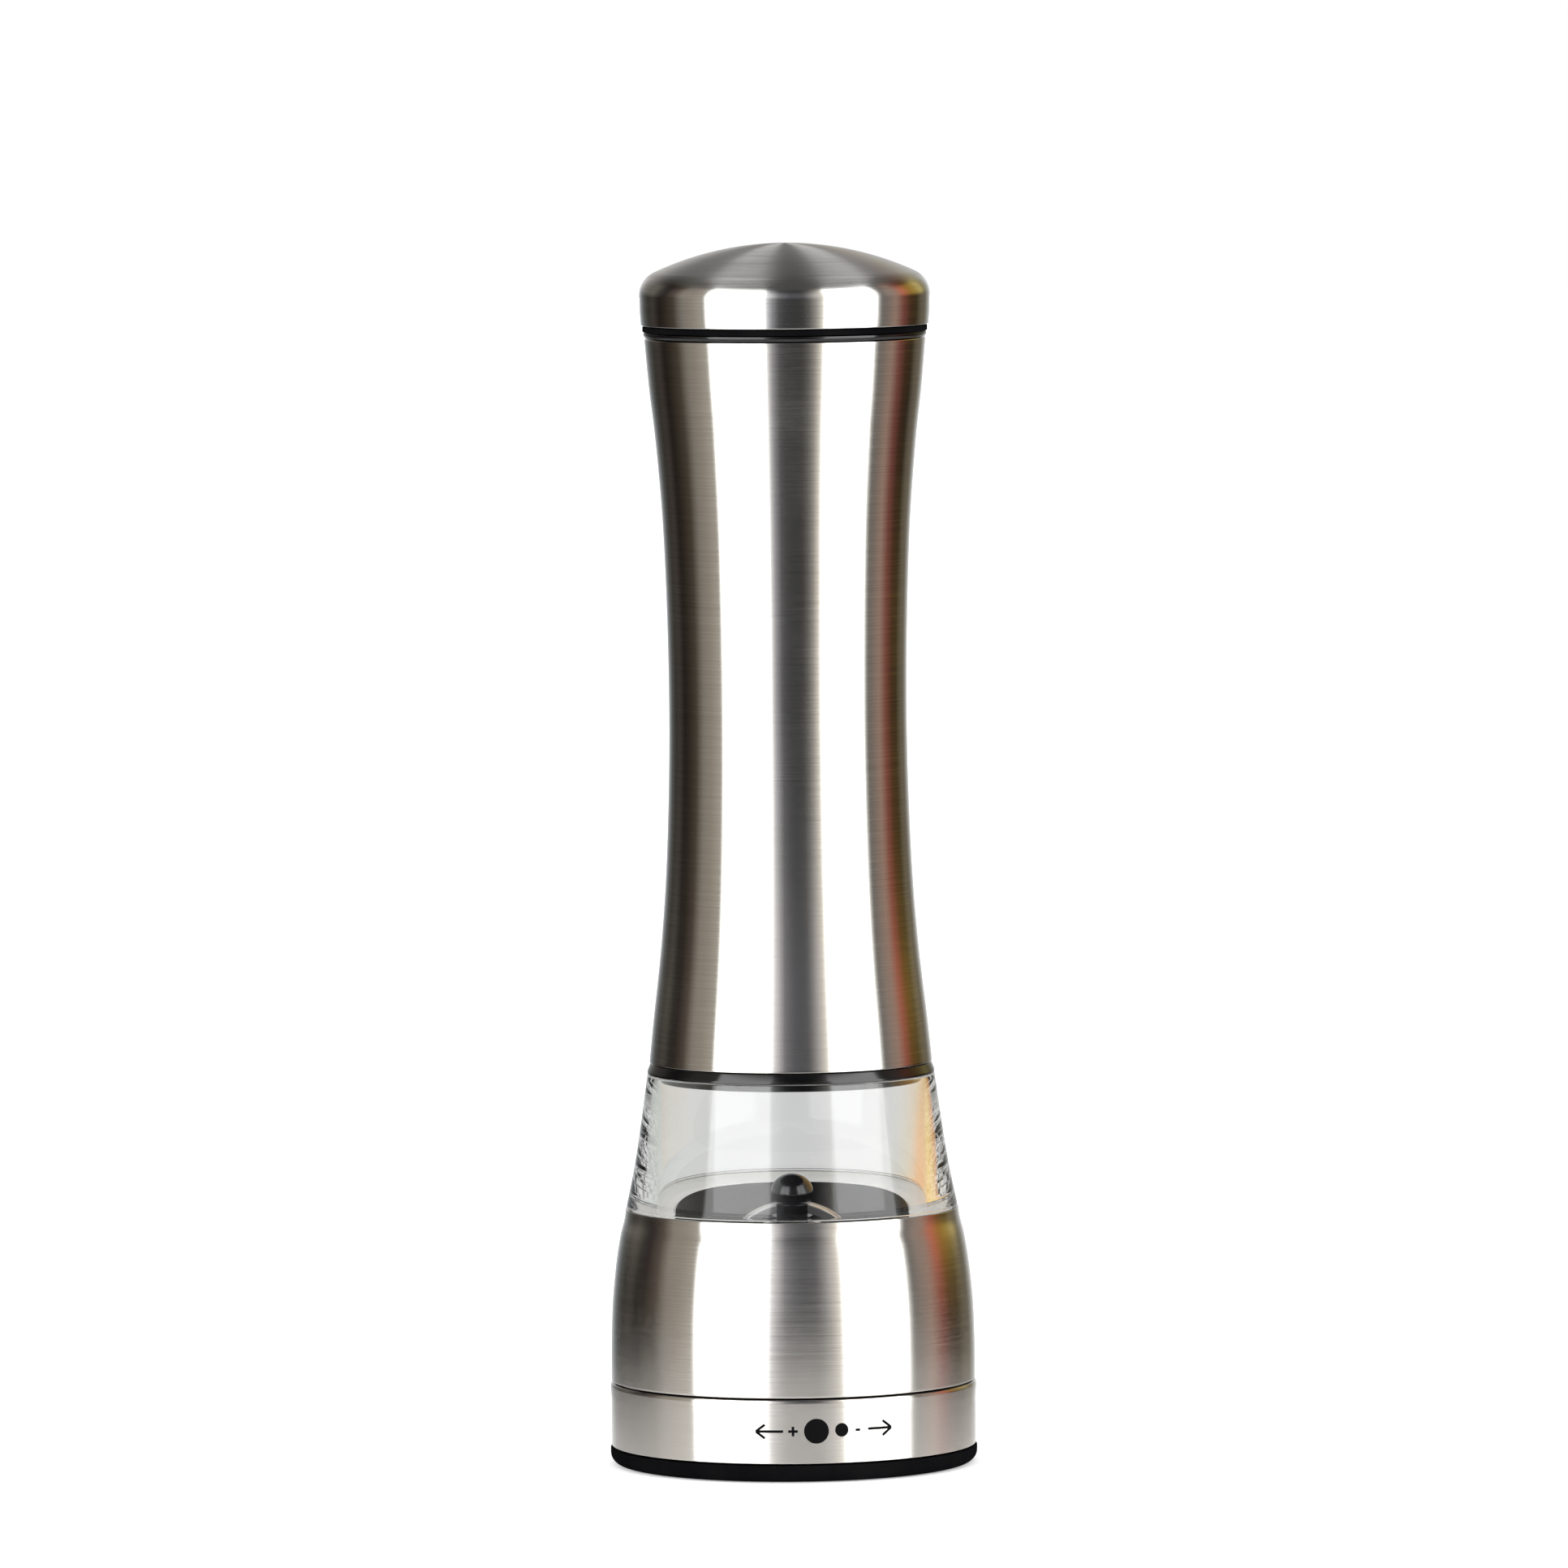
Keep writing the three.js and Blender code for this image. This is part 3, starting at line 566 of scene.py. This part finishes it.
def build_bridge_screws():
    for side in ("left", "right"):
        name = f"bridge_screw_{side}"
        low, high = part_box(name)
        centre = ((low.x + high.x) / 2 / MM, 0.0)
        radius, head_low = (high.x - low.x) / 2 / MM, high.z / MM - 1.2
        outline = [
            (0.0, low.z / MM), (0.9, low.z / MM), (0.9, head_low), (radius, head_low),
            (radius, head_low + 0.5), *arc((0.0, head_low + 0.2), 1.0, 60, 90, 5),
        ]
        screw = revolve(name, outline, bright_steel, "hopper", segments=48, ease=0.15,
                        centre=centre)
        carve(screw, [((2.2, 0.4, 1.2), (*centre, high.z / MM), turn) for turn in (20, 110)])


def square_radius(half_width, angle):
    return half_width / max(abs(math.cos(angle)), abs(math.sin(angle)))


def spindle_outline(angle):
    half_width, low, top = span("spindle")
    side = square_radius(half_width, angle)
    return [
        (0.0, low), (1.7, low), (2.0, low + 0.3), (2.0, 10.8), (side, 10.8), (side, 38.9),
        (2.0, 38.9), (2.0, 41.0), (1.4, 41.0), (1.4, top), (0.0, top),
    ]


def helix_points(radius, wire, low, high, turns, per_turn=40, sides=12):
    rings = []
    steps = turns * per_turn
    for i in range(steps + 1):
        angle = TURN * i / per_turn
        middle = low + wire + (high - low - 2 * wire) * i / steps
        rings.append([
            ((radius + r) * math.cos(angle), (radius + r) * math.sin(angle), middle + z)
            for r, z in arc((0.0, 0.0), wire, 0, 360 - 360 / sides, sides - 1)
        ])
    return rings


def knob_outline():
    radius, low, top = span("spindle_knob")
    centre = top - radius
    start = math.degrees(math.asin((low - centre) / radius))
    return [
        (1.7, low), *arc((0.0, centre), radius, start, 90, 24), (0.0, top - 2.3), (1.7, top - 2.3),
    ]


def build_hopper_inside():
    floor = revolve("hopper_floor", floor_outline(), black_matt, "hopper", ease=0.3)
    carve(floor, [((5.8, 5.8, 8.0), (side * 12.4, 0.0, 41.6), 0) for side in (-1, 1)])
    revolve("window_seat", window_seat_outline(), milky_silicone, "hopper", ease=0.1)
    build_bridge()
    build_bridge_screws()
    revolve("spindle", spindle_outline, bright_steel, "hopper", segments=MEDIUM)
    hub, low, top = span("spindle_hub")
    post = revolve("spindle_hub", [
        (2.3, low), (hub, low), (hub, low + 1.2), (3.6, low + 1.2), (3.6, top), (2.3, top),
    ], black_gloss, "hopper", segments=MEDIUM, ease=0.25)
    carve(post, [((14.0, 4.6, 6.0), (0.0, 0.0, 44.2), 0)])
    revolve("spindle_knob", knob_outline(), black_polished, "hopper", segments=MEDIUM, ease=0.15)
    vertices, faces = sweep(helix_points(4.6, 0.45, 28.4, 38.9, 4))
    make_object("burr_spring", vertices, faces, bright_steel, "hopper", ("burr_spring",))


# ---------------------------------------------------------------- burrs and their fastenings


def flute_depth(angle, height, count, lean, depth):
    """How deep a leaning saw-tooth flute cuts at an angle and height."""
    phase = (angle * count / TURN + lean * height) % 1.0
    return depth * (phase / 0.72 if phase < 0.72 else (1 - phase) / 0.28)


def cone_radius(height):
    return 14.0 - 0.45 * (height - 9.0)


def grinding_side(angle, low, lean, coarse_depth):
    """(height, depth of cut) up a burr's side: fine flutes at its foot give way to coarse ones."""
    stations = []
    for i in range(SIDE_STEPS + 1):
        height = low + (BURR_WAIST - low) * i / SIDE_STEPS
        above = height - low
        coarse = flute_depth(angle, height, BURR_FLUTES, lean, coarse_depth * min(1, above / 2.0))
        fine = flute_depth(angle, height, 4 * BURR_FLUTES, 4 * lean, 0.35 * max(0, 1 - above / 2.5))
        stations.append((height, coarse + fine))
    return stations


def rotor_outline(angle):
    low, top = 10.0, 27.0
    socket = square_radius(2.6, angle)
    side = [(cone_radius(height) - BURR_CLEARANCE - 0.1 - depth, height)
            for height, depth in grinding_side(angle, low, -0.045, 0.9)]
    waist_radius, neck_radius = side[-1][0], 5.6
    for i in range(1, 9):
        side.append((waist_radius + (neck_radius - waist_radius) * i / 8,
                     BURR_WAIST + (top - BURR_WAIST) * i / 8))
    return [(socket, low), (side[0][0] - 0.4, low), *side, (socket, top)]


def stator_outline(angle):
    outer, low, top = span("stator_burr")
    bore = [(cone_radius(height) + 0.1 + depth, height)
            for height, depth in grinding_side(angle, low, 0.045, 0.8)]
    return [
        (15.6, top), (outer - 0.3, top), (outer, top - 0.3), (outer, low + 0.3), (outer - 0.3, low),
        (cone_radius(low) + 0.8, low), *bore,
    ]


def nut_outline(angle):
    across, low, top = span("spindle_nut")
    wedge = math.radians(60)
    side = across / math.cos((angle + wedge / 2) % wedge - wedge / 2)
    return [
        (2.1, low), (min(side, 3.55), low), (min(side, 3.8), low + 0.12), (side, low + 0.35),
        (side, top - 0.35), (min(side, 3.8), top - 0.12), (min(side, 3.55), top), (2.1, top),
    ]


def washer_outline(node, inner):
    outer, low, top = span(node)
    return [(inner, low), (outer, low), (outer, top), (inner, top)]


def build_burrs():
    teeth = 24 * BURR_FLUTES
    revolve("rotor_burr", rotor_outline, ceramic, "hopper", segments=teeth)
    revolve("stator_burr", stator_outline, ceramic, "burr_carrier", segments=teeth)
    revolve("spindle_nut", nut_outline, bright_steel, "hopper", segments=MEDIUM)
    for washer, inner in (("rotor_washer", 2.3), ("spring_washer", 3.6)):
        revolve(washer, washer_outline(washer, inner), bright_steel, "hopper", segments=MEDIUM)


# ---------------------------------------------------------------- base and coarseness ring


def thread_profile(distance, root, crest, height):
    """Height of a trapezoid thread at a distance from its middle."""
    return height * min(1.0, max(0.0, (root - abs(distance)) / (root - crest)))


def nearest_thread(height, angle, start):
    offset = (height - start) / THREAD_LEAD - angle / TURN
    return (offset - round(offset)) * THREAD_LEAD


def ring_core_outline(angle):
    reach, low, top = span("adjust_ring_core")
    deck = 14.0
    bore = []
    for i in range(61):
        height = deck - (deck - low) * i / 60
        ridge = thread_profile(nearest_thread(height, angle, 2.0), 1.1, 0.85, 0.95)
        bore.append((20.2 + ridge, height))
    return [
        (22.9, low), (22.9, 11.6), (29.4, 11.6), (29.4, low), (reach, low), (reach, deck),
        (27.2, deck), (27.2, 19.5), (28.6, 19.5), (28.6, top), (25.0, top), (25.0, deck), *bore,
    ]


def carrier_outline(angle):
    low, top = span("stator_carrier")[1:]
    root, key_reach, key_low, thread_start = 19.6, 22.2, 17.3, 6.0
    outside = []
    for i in range(73):
        height = low + (key_low - low) * i / 72
        leads_up = (height - thread_start) / THREAD_LEAD
        turns = leads_up - angle / TURN
        on_thread = turns > -0.25 and leads_up < 1.6 and round(turns) * TURN + angle < 8.5
        offset = nearest_thread(height, angle, thread_start)
        ridge = thread_profile(offset, 0.9, 0.5, THREAD_HEIGHT) if on_thread else 0.0
        outside.append((root + ridge, height))
    quarter = math.radians(90)
    from_key = angle % quarter - quarter / 2
    reach = key_reach if abs(math.sin(from_key)) * key_reach < 1.8 else root
    return [
        *outside, (reach, key_low + 0.01), (reach, top), (18.3, top), (18.3, 8.7), (16.2, 8.7),
        (16.2, low + 0.3), (16.5, low),
    ]


def base_shell_outline():
    lip = 29.42
    low, top = span("base_shell")[1] - 0.1, span("base_shell")[2]
    outside = flowing([
        (32.17, low), (32.15, 21.0), (31.9, 28.5), (31.2, 35.6), (30.4, 40.5), (29.7, 43.3),
        (lip, top),
    ])
    return [*outside, *reversed(inset(outside, STEEL_WALL))]


def ring_shell_outline():
    widest, low, top = span("adjust_ring_shell")
    top += 0.1
    return [
        (31.6, low), (widest - 0.16, low), (widest - 0.16, 11.5), (widest, top - 0.7),
        (widest - 0.2, top), (31.6, top),
    ]


def foot_outline():
    outer, low, top = span("foot_ring")
    roundness = 2.05
    return [
        (23.7, low + 0.4), (24.1, low),
        *arc((outer - roundness, low + roundness), roundness, -90, 0, 16),
        (outer, top), (23.7, top),
    ]


def build_base():
    revolve("base_shell", base_shell_outline(), brushed_steel, "base", ease=0.25)
    revolve("foot_ring", foot_outline(), black_matt, "adjust_ring", ease=0.2)
    revolve("adjust_ring_shell", ring_shell_outline(), brushed_steel, "adjust_ring", ease=0.15)
    revolve("adjust_ring_core", ring_core_outline, black_satin, "adjust_ring", segments=MEDIUM)
    revolve("stator_carrier", carrier_outline, black_satin, "burr_carrier", segments=FINE)


def finish_hidden_pieces():
    """The pieces closed inside the mill keep their CAD shape and take a finish of their own."""
    finishes = {
        "base_housing": black_satin,
        "glide_ring": white_acetal,
        "ring_clip": bright_steel,
        "detent_ball": bright_steel,
        "detent_spring": bright_steel,
        "retaining_ring": black_satin,
        "retainer_screw_1": bright_steel,
        "retainer_screw_2": bright_steel,
        "retainer_screw_3": bright_steel,
    }
    for name, material in finishes.items():
        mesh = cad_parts[name].data
        mesh.materials.clear()
        mesh.materials.append(material)


# ---------------------------------------------------------------- printed marks

# How deep the print's face and root lie in the steel; the face stands a little proud of it.
INK_TOP = -0.03
INK_FOOT = 0.05


def bent(points, depth):
    """Points of the print, given along the ring's front and up, laid on the steel at a depth."""
    surface = span("adjust_ring_shell")[0] - 0.16 - depth
    return [(surface * math.sin(s / surface), -surface * math.cos(s / surface), z)
            for s, z in points]


def stroke(start, end, width, steps=10):
    """A straight printed line, as a run of thin four-sided sections."""
    along = (Vector(end) - Vector(start)).normalized()
    across = Vector((-along.y, along.x)) * width / 2
    rings = []
    for i in range(steps + 1):
        middle = Vector(start).lerp(Vector(end), i / steps)
        edges = [tuple(middle - across), tuple(middle + across)]
        rings.append([*bent(edges, INK_TOP), *bent(reversed(edges), INK_FOOT)])
    return sweep(rings)


def dot(middle, radius, sides=64, circles=6):
    """A printed disc, as a flat cap over a short side wall."""
    rings = []
    inwards = ((i / circles, INK_TOP) for i in range(circles, 0, -1))
    for share, depth in [(1.0, INK_FOOT), *inwards]:
        circle = [polar(middle, radius * share, 360 * k / sides) for k in range(sides)]
        rings.append(bent(circle, depth))
    return sweep(rings)


def arrow(tip, tail, head, width):
    back = head if tail[0] > tip[0] else -head
    parts = [stroke(tip, tail, width)]
    for side in (-1, 1):
        parts.append(stroke(tip, (tip[0] + back * 1.35, tip[1] + side * head), width))
    return parts


def build_marks():
    """Coarser to the left, finer to the right: arrow, plus, big dot, small dot, minus, arrow."""
    height = 9.05
    line = 0.45
    parts = [
        *arrow((-6.75, height), (-1.9, height), 1.2, line),
        stroke((-1.02, height), (0.66, height), line),
        stroke((-0.18, height - 0.84), (-0.18, height + 0.84), line),
        dot((3.95, height), 2.19),
        dot((8.47, height + 0.1), 1.2),
        stroke((11.0, height), (11.85, height), line),
        *arrow((17.95, height + 0.1), (13.35, height + 0.1), 1.3, line),
    ]
    vertices, faces = [], []
    for part_vertices, part_faces in parts:
        start = len(vertices)
        vertices.extend(part_vertices)
        faces.extend(tuple(start + corner for corner in face) for face in part_faces)
    marks = make_object("coarseness_marks", vertices, faces, printed_ink, "adjust_ring", (), False)
    marks.data.shade_flat()


# ---------------------------------------------------------------- studio


def ramp_between(tree, value, stops, sweep_from):
    """A colour ramp over azimuths up to 180; each stop is (degrees, light)."""
    ramp = tree.nodes.new("ShaderNodeValToRGB")
    elements = ramp.color_ramp.elements
    while len(elements) < len(stops):
        elements.new(0.5)
    for element, (degrees, light) in zip(elements, stops):
        element.position = (degrees - sweep_from) / (180 - sweep_from)
        element.color = (*(part / SOFTBOX_LIGHT for part in light), 1.0)
    tree.links.new(value, ramp.inputs["Fac"])
    return ramp.outputs["Color"]


# Light all round the mill at table height: azimuth 0 is behind the camera, 180 behind the mill.
SOFTBOX_LIGHT = 4.5
STUDIO_LEFT = [
    (0, (0.036, 0.036, 0.038)),
    (5, (0.075, 0.075, 0.080)),
    (10, (0.310, 0.310, 0.340)),
    (12, (0.560, 0.560, 0.590)),
    (15, (1.100, 1.100, 1.150)),
    (18, (4.500, 4.500, 4.500)),
    (64.5, (4.500, 4.500, 4.500)),
    (66.5, (1.300, 1.260, 1.200)),
    (68, (0.500, 0.480, 0.430)),
    (72, (0.500, 0.455, 0.390)),
    (80, (0.385, 0.340, 0.290)),
    (90, (0.285, 0.265, 0.230)),
    (100, (0.080, 0.065, 0.047)),
    (110, (0.045, 0.035, 0.025)),
    (120, (0.018, 0.013, 0.010)),
    (130, (0.060, 0.050, 0.045)),
    (140, (0.047, 0.042, 0.037)),
    (150, (0.100, 0.104, 0.100)),
    (160, (0.260, 0.275, 0.290)),
    (170, (0.590, 0.610, 0.625)),
    (180, (0.600, 0.600, 0.600)),
]
STUDIO_RIGHT = [
    (0, (0.036, 0.036, 0.038)),
    (10, (0.024, 0.026, 0.023)),
    (15, (0.036, 0.036, 0.030)),
    (20, (0.120, 0.115, 0.105)),
    (25, (0.360, 0.330, 0.300)),
    (30, (0.950, 0.900, 0.800)),
    (32, (1.700, 1.650, 1.550)),
    (34, (4.500, 4.500, 4.500)),
    (78, (4.500, 4.500, 4.500)),
    (79.5, (1.400, 1.400, 1.380)),
    (81.5, (0.650, 0.640, 0.620)),
    (84, (0.220, 0.210, 0.195)),
    (90, (0.250, 0.210, 0.185)),
    (100, (0.420, 0.285, 0.225)),
    (110, (0.220, 0.075, 0.062)),
    (120, (0.062, 0.028, 0.019)),
    (130, (0.032, 0.022, 0.013)),
    (140, (0.142, 0.120, 0.090)),
    (150, (0.186, 0.162, 0.126)),
    (160, (0.420, 0.420, 0.390)),
    (170, (0.780, 0.780, 0.780)),
    (180, (0.600, 0.600, 0.600)),
]
# Light that only faces leaning back catch: a warm corner on the right, a glow by the camera.
RAISED_GLOW = [
    (-180, (0.10, 0.10, 0.10)),
    (-168, (0.19, 0.15, 0.12)),
    (-150, (0.15, 0.13, 0.12)),
    (-130, (0.12, 0.12, 0.10)),
    (-112, (0.00, 0.00, 0.01)),
    (-90, (0.10, 0.08, 0.07)),
    (-75, (0.00, 0.00, 0.00)),
    (-20, (0.00, 0.00, 0.00)),
    (-14, (0.45, 0.45, 0.46)),
    (-10, (0.58, 0.58, 0.58)),
    (-5, (0.26, 0.26, 0.28)),
    (5, (0.12, 0.12, 0.14)),
    (15, (0.13, 0.13, 0.15)),
    (25, (0.42, 0.42, 0.44)),
    (32, (0.00, 0.00, 0.00)),
    (84, (0.00, 0.00, 0.00)),
    (91, (0.12, 0.10, 0.09)),
    (100, (0.03, 0.03, 0.03)),
    (110, (0.51, 0.15, 0.07)),
    (120, (0.42, 0.21, 0.03)),
    (130, (0.46, 0.32, 0.07)),
    (140, (0.55, 0.42, 0.12)),
    (150, (0.15, 0.13, 0.02)),
    (162, (0.00, 0.00, 0.00)),
]
# What the window shows behind the mill.
BACKDROP = [
    (-180, (0.70, 0.70, 0.70)),
    (-155, (0.67, 0.69, 0.66)),
    (-130, (0.64, 0.66, 0.61)),
    (-110, (0.74, 0.74, 0.73)),
    (90, (0.70, 0.66, 0.60)),
    (105, (0.90, 0.58, 0.24)),
    (120, (0.95, 0.55, 0.16)),
    (138, (1.00, 0.74, 0.32)),
    (148, (1.00, 0.72, 0.34)),
    (155, (0.95, 0.50, 0.22)),
    (163, (0.90, 0.55, 0.30)),
    (169, (0.75, 0.70, 0.58)),
    (174, (0.70, 0.70, 0.69)),
    (180, (0.70, 0.70, 0.70)),
]


def math_node(tree, operation, first, second=None):
    node = tree.nodes.new("ShaderNodeMath")
    node.operation = operation
    for socket, value in zip(node.inputs, (first, second)):
        if isinstance(value, (int, float)):
            socket.default_value = value
        elif value is not None:
            tree.links.new(value, socket)
    return node.outputs["Value"]


def mixed(tree, factor, first, second):
    """A mix of two colours; the second may be a plain colour."""
    mix = tree.nodes.new("ShaderNodeMix")
    mix.data_type = "RGBA"
    tree.links.new(factor, mix.inputs["Factor"])
    tree.links.new(first, mix.inputs["A"])
    if isinstance(second, tuple):
        mix.inputs["B"].default_value = (*second, 1.0)
    else:
        tree.links.new(second, mix.inputs["B"])
    return mix.outputs["Result"]


def added(tree, first, second):
    total = tree.nodes.new("ShaderNodeVectorMath")
    total.operation = "ADD"
    tree.links.new(first, total.inputs[0])
    tree.links.new(second, total.inputs[1])
    return total.outputs["Vector"]


def plain(light):
    return (light / SOFTBOX_LIGHT,) * 3


def build_studio_light():
    """Two tall softboxes in a dim room, a pale backdrop for the window, even light when matt."""
    world = bpy.data.worlds.new("studio")
    bpy.context.scene.world = world
    world.use_nodes = True
    tree = world.node_tree
    place = tree.nodes.new("ShaderNodeTexCoord")
    axes = tree.nodes.new("ShaderNodeSeparateXYZ")
    tree.links.new(place.outputs["Generated"], axes.inputs["Vector"])
    to_camera = math_node(tree, "MULTIPLY", axes.outputs["Y"], -1.0)
    azimuth = math_node(tree, "ARCTAN2", axes.outputs["X"], to_camera)
    round_share = math_node(tree, "ADD", math_node(tree, "DIVIDE", azimuth, TURN), 0.5)
    side_share = math_node(tree, "DIVIDE", math_node(tree, "ABSOLUTE", azimuth), math.pi)
    on_right = math_node(tree, "GREATER_THAN", axes.outputs["X"], 0.0)
    level = mixed(tree, on_right, ramp_between(tree, side_share, STUDIO_LEFT, 0),
                  ramp_between(tree, side_share, STUDIO_RIGHT, 0))
    raised = added(tree, level, ramp_between(tree, round_share, RAISED_GLOW, -180))
    rising = spread(tree, axes.outputs["Z"], 0.0, 1.0, 0.0, 0.08)
    falling = spread(tree, axes.outputs["Z"], 1.0, 0.0, 0.36, 0.5)
    walls = mixed(tree, math_node(tree, "MULTIPLY", rising, falling), level, raised)
    overhead = spread(tree, axes.outputs["Z"], 0.0, 1.0, 0.55, 0.68)
    below = spread(tree, axes.outputs["Z"], 1.0, 0.0, -0.7, -0.35)
    seen_in_steel = mixed(tree, overhead, walls, plain(0.10))
    seen_in_steel = mixed(tree, below, seen_in_steel, plain(0.9))
    backdrop = ramp_between(tree, round_share, BACKDROP, -180)
    backdrop = mixed(tree, overhead, backdrop, plain(1.0))
    behind = spread(tree, axes.outputs["Y"], 0.0, 1.0, -0.3, 0.0)
    rays = tree.nodes.new("ShaderNodeLightPath")
    # Mirror images from inside the window fade with each wall they pass.
    deep = math_node(tree, "MULTIPLY", rays.outputs["Transmission Depth"], 0.12)
    seen_inside = mixed(tree, math_node(tree, "MINIMUM", deep, 0.7), seen_in_steel, plain(0.0))
    seen_through_window = mixed(tree, behind, seen_inside, backdrop)
    clutter = tree.nodes.new("ShaderNodeTexNoise")
    clutter.inputs["Scale"].default_value = 9.0
    tree.links.new(place.outputs["Generated"], clutter.inputs["Vector"])
    glitter = tinted(tree, spread(tree, clutter.outputs["Fac"], 0.0, 1.0, 0.42, 0.52), plain(0.04),
                     plain(0.85))
    # Light that the thick edge of the window has piped along breaks up into glitter.
    guided = math_node(tree, "GREATER_THAN", rays.outputs["Glossy Depth"], 1.5)
    seen_through_window = mixed(tree, guided, seen_through_window, glitter)
    light = mixed(tree, rays.outputs["Is Transmission Ray"], seen_in_steel, seen_through_window)
    light = mixed(tree, rays.outputs["Is Diffuse Ray"], light, plain(1.05))
    light = mixed(tree, rays.outputs["Is Camera Ray"], light, plain(1.005))
    background = tree.nodes["Background"]
    background.inputs["Strength"].default_value = SOFTBOX_LIGHT
    tree.links.new(light, background.inputs["Color"])


def build_floor():
    def sheet(name, outline, height, material):
        mesh = bpy.data.meshes.new(name)
        mesh.from_pydata([(x, y, height) for x, y in outline], [], [tuple(range(len(outline)))])
        mesh.materials.append(material)
        piece = bpy.data.objects.new(name, mesh)
        bpy.context.scene.collection.objects.link(piece)
        return piece

    paper = floor_paper()
    floor = sheet("floor", [(-6, -6), (6, -6), (6, 6), (-6, 6)], -0.0001, paper)
    floor.visible_glossy = False
    floor.visible_transmission = False
    # A sheet that only reflections see, carrying a painted pool of light for the steel to mirror.
    light_pool_sheet = sheet("light_pool_sheet", [polar((0, 0), 0.40, 5 * k) for k in range(72)], -0.0002,
                       painted_light_pool())
    light_pool_sheet.visible_camera = False
    light_pool_sheet.visible_diffuse = False
    light_pool_sheet.visible_transmission = False
    light_pool_sheet.visible_shadow = False


def build_camera():
    data = bpy.data.cameras.new("camera")
    data.lens = CAMERA_LENS
    data.sensor_width = 36.0
    data.clip_end = 100.0
    camera = bpy.data.objects.new("camera", data)
    bpy.context.scene.collection.objects.link(camera)
    camera.matrix_world = (
        Matrix.Translation((CAMERA_ASIDE, -CAMERA_DISTANCE, CAMERA_HEIGHT))
        @ Matrix.Rotation(math.radians(90) - CAMERA_PITCH, 4, "X")
        @ Matrix.Rotation(-CAMERA_ROLL, 4, "Z")
    )
    bpy.context.scene.camera = camera


# ---------------------------------------------------------------- assembly

build_cap()
build_body()
build_hopper_inside()
build_burrs()
build_base()
finish_hidden_pieces()
build_marks()
build_studio_light()
build_floor()
build_camera()
scene = bpy.context.scene
scene.view_settings.view_transform = "Standard"
# The window's thick edge passes light on through many inner reflections.
scene.cycles.max_bounces = 24
scene.cycles.glossy_bounces = 16
scene.cycles.transmission_bounces = 16
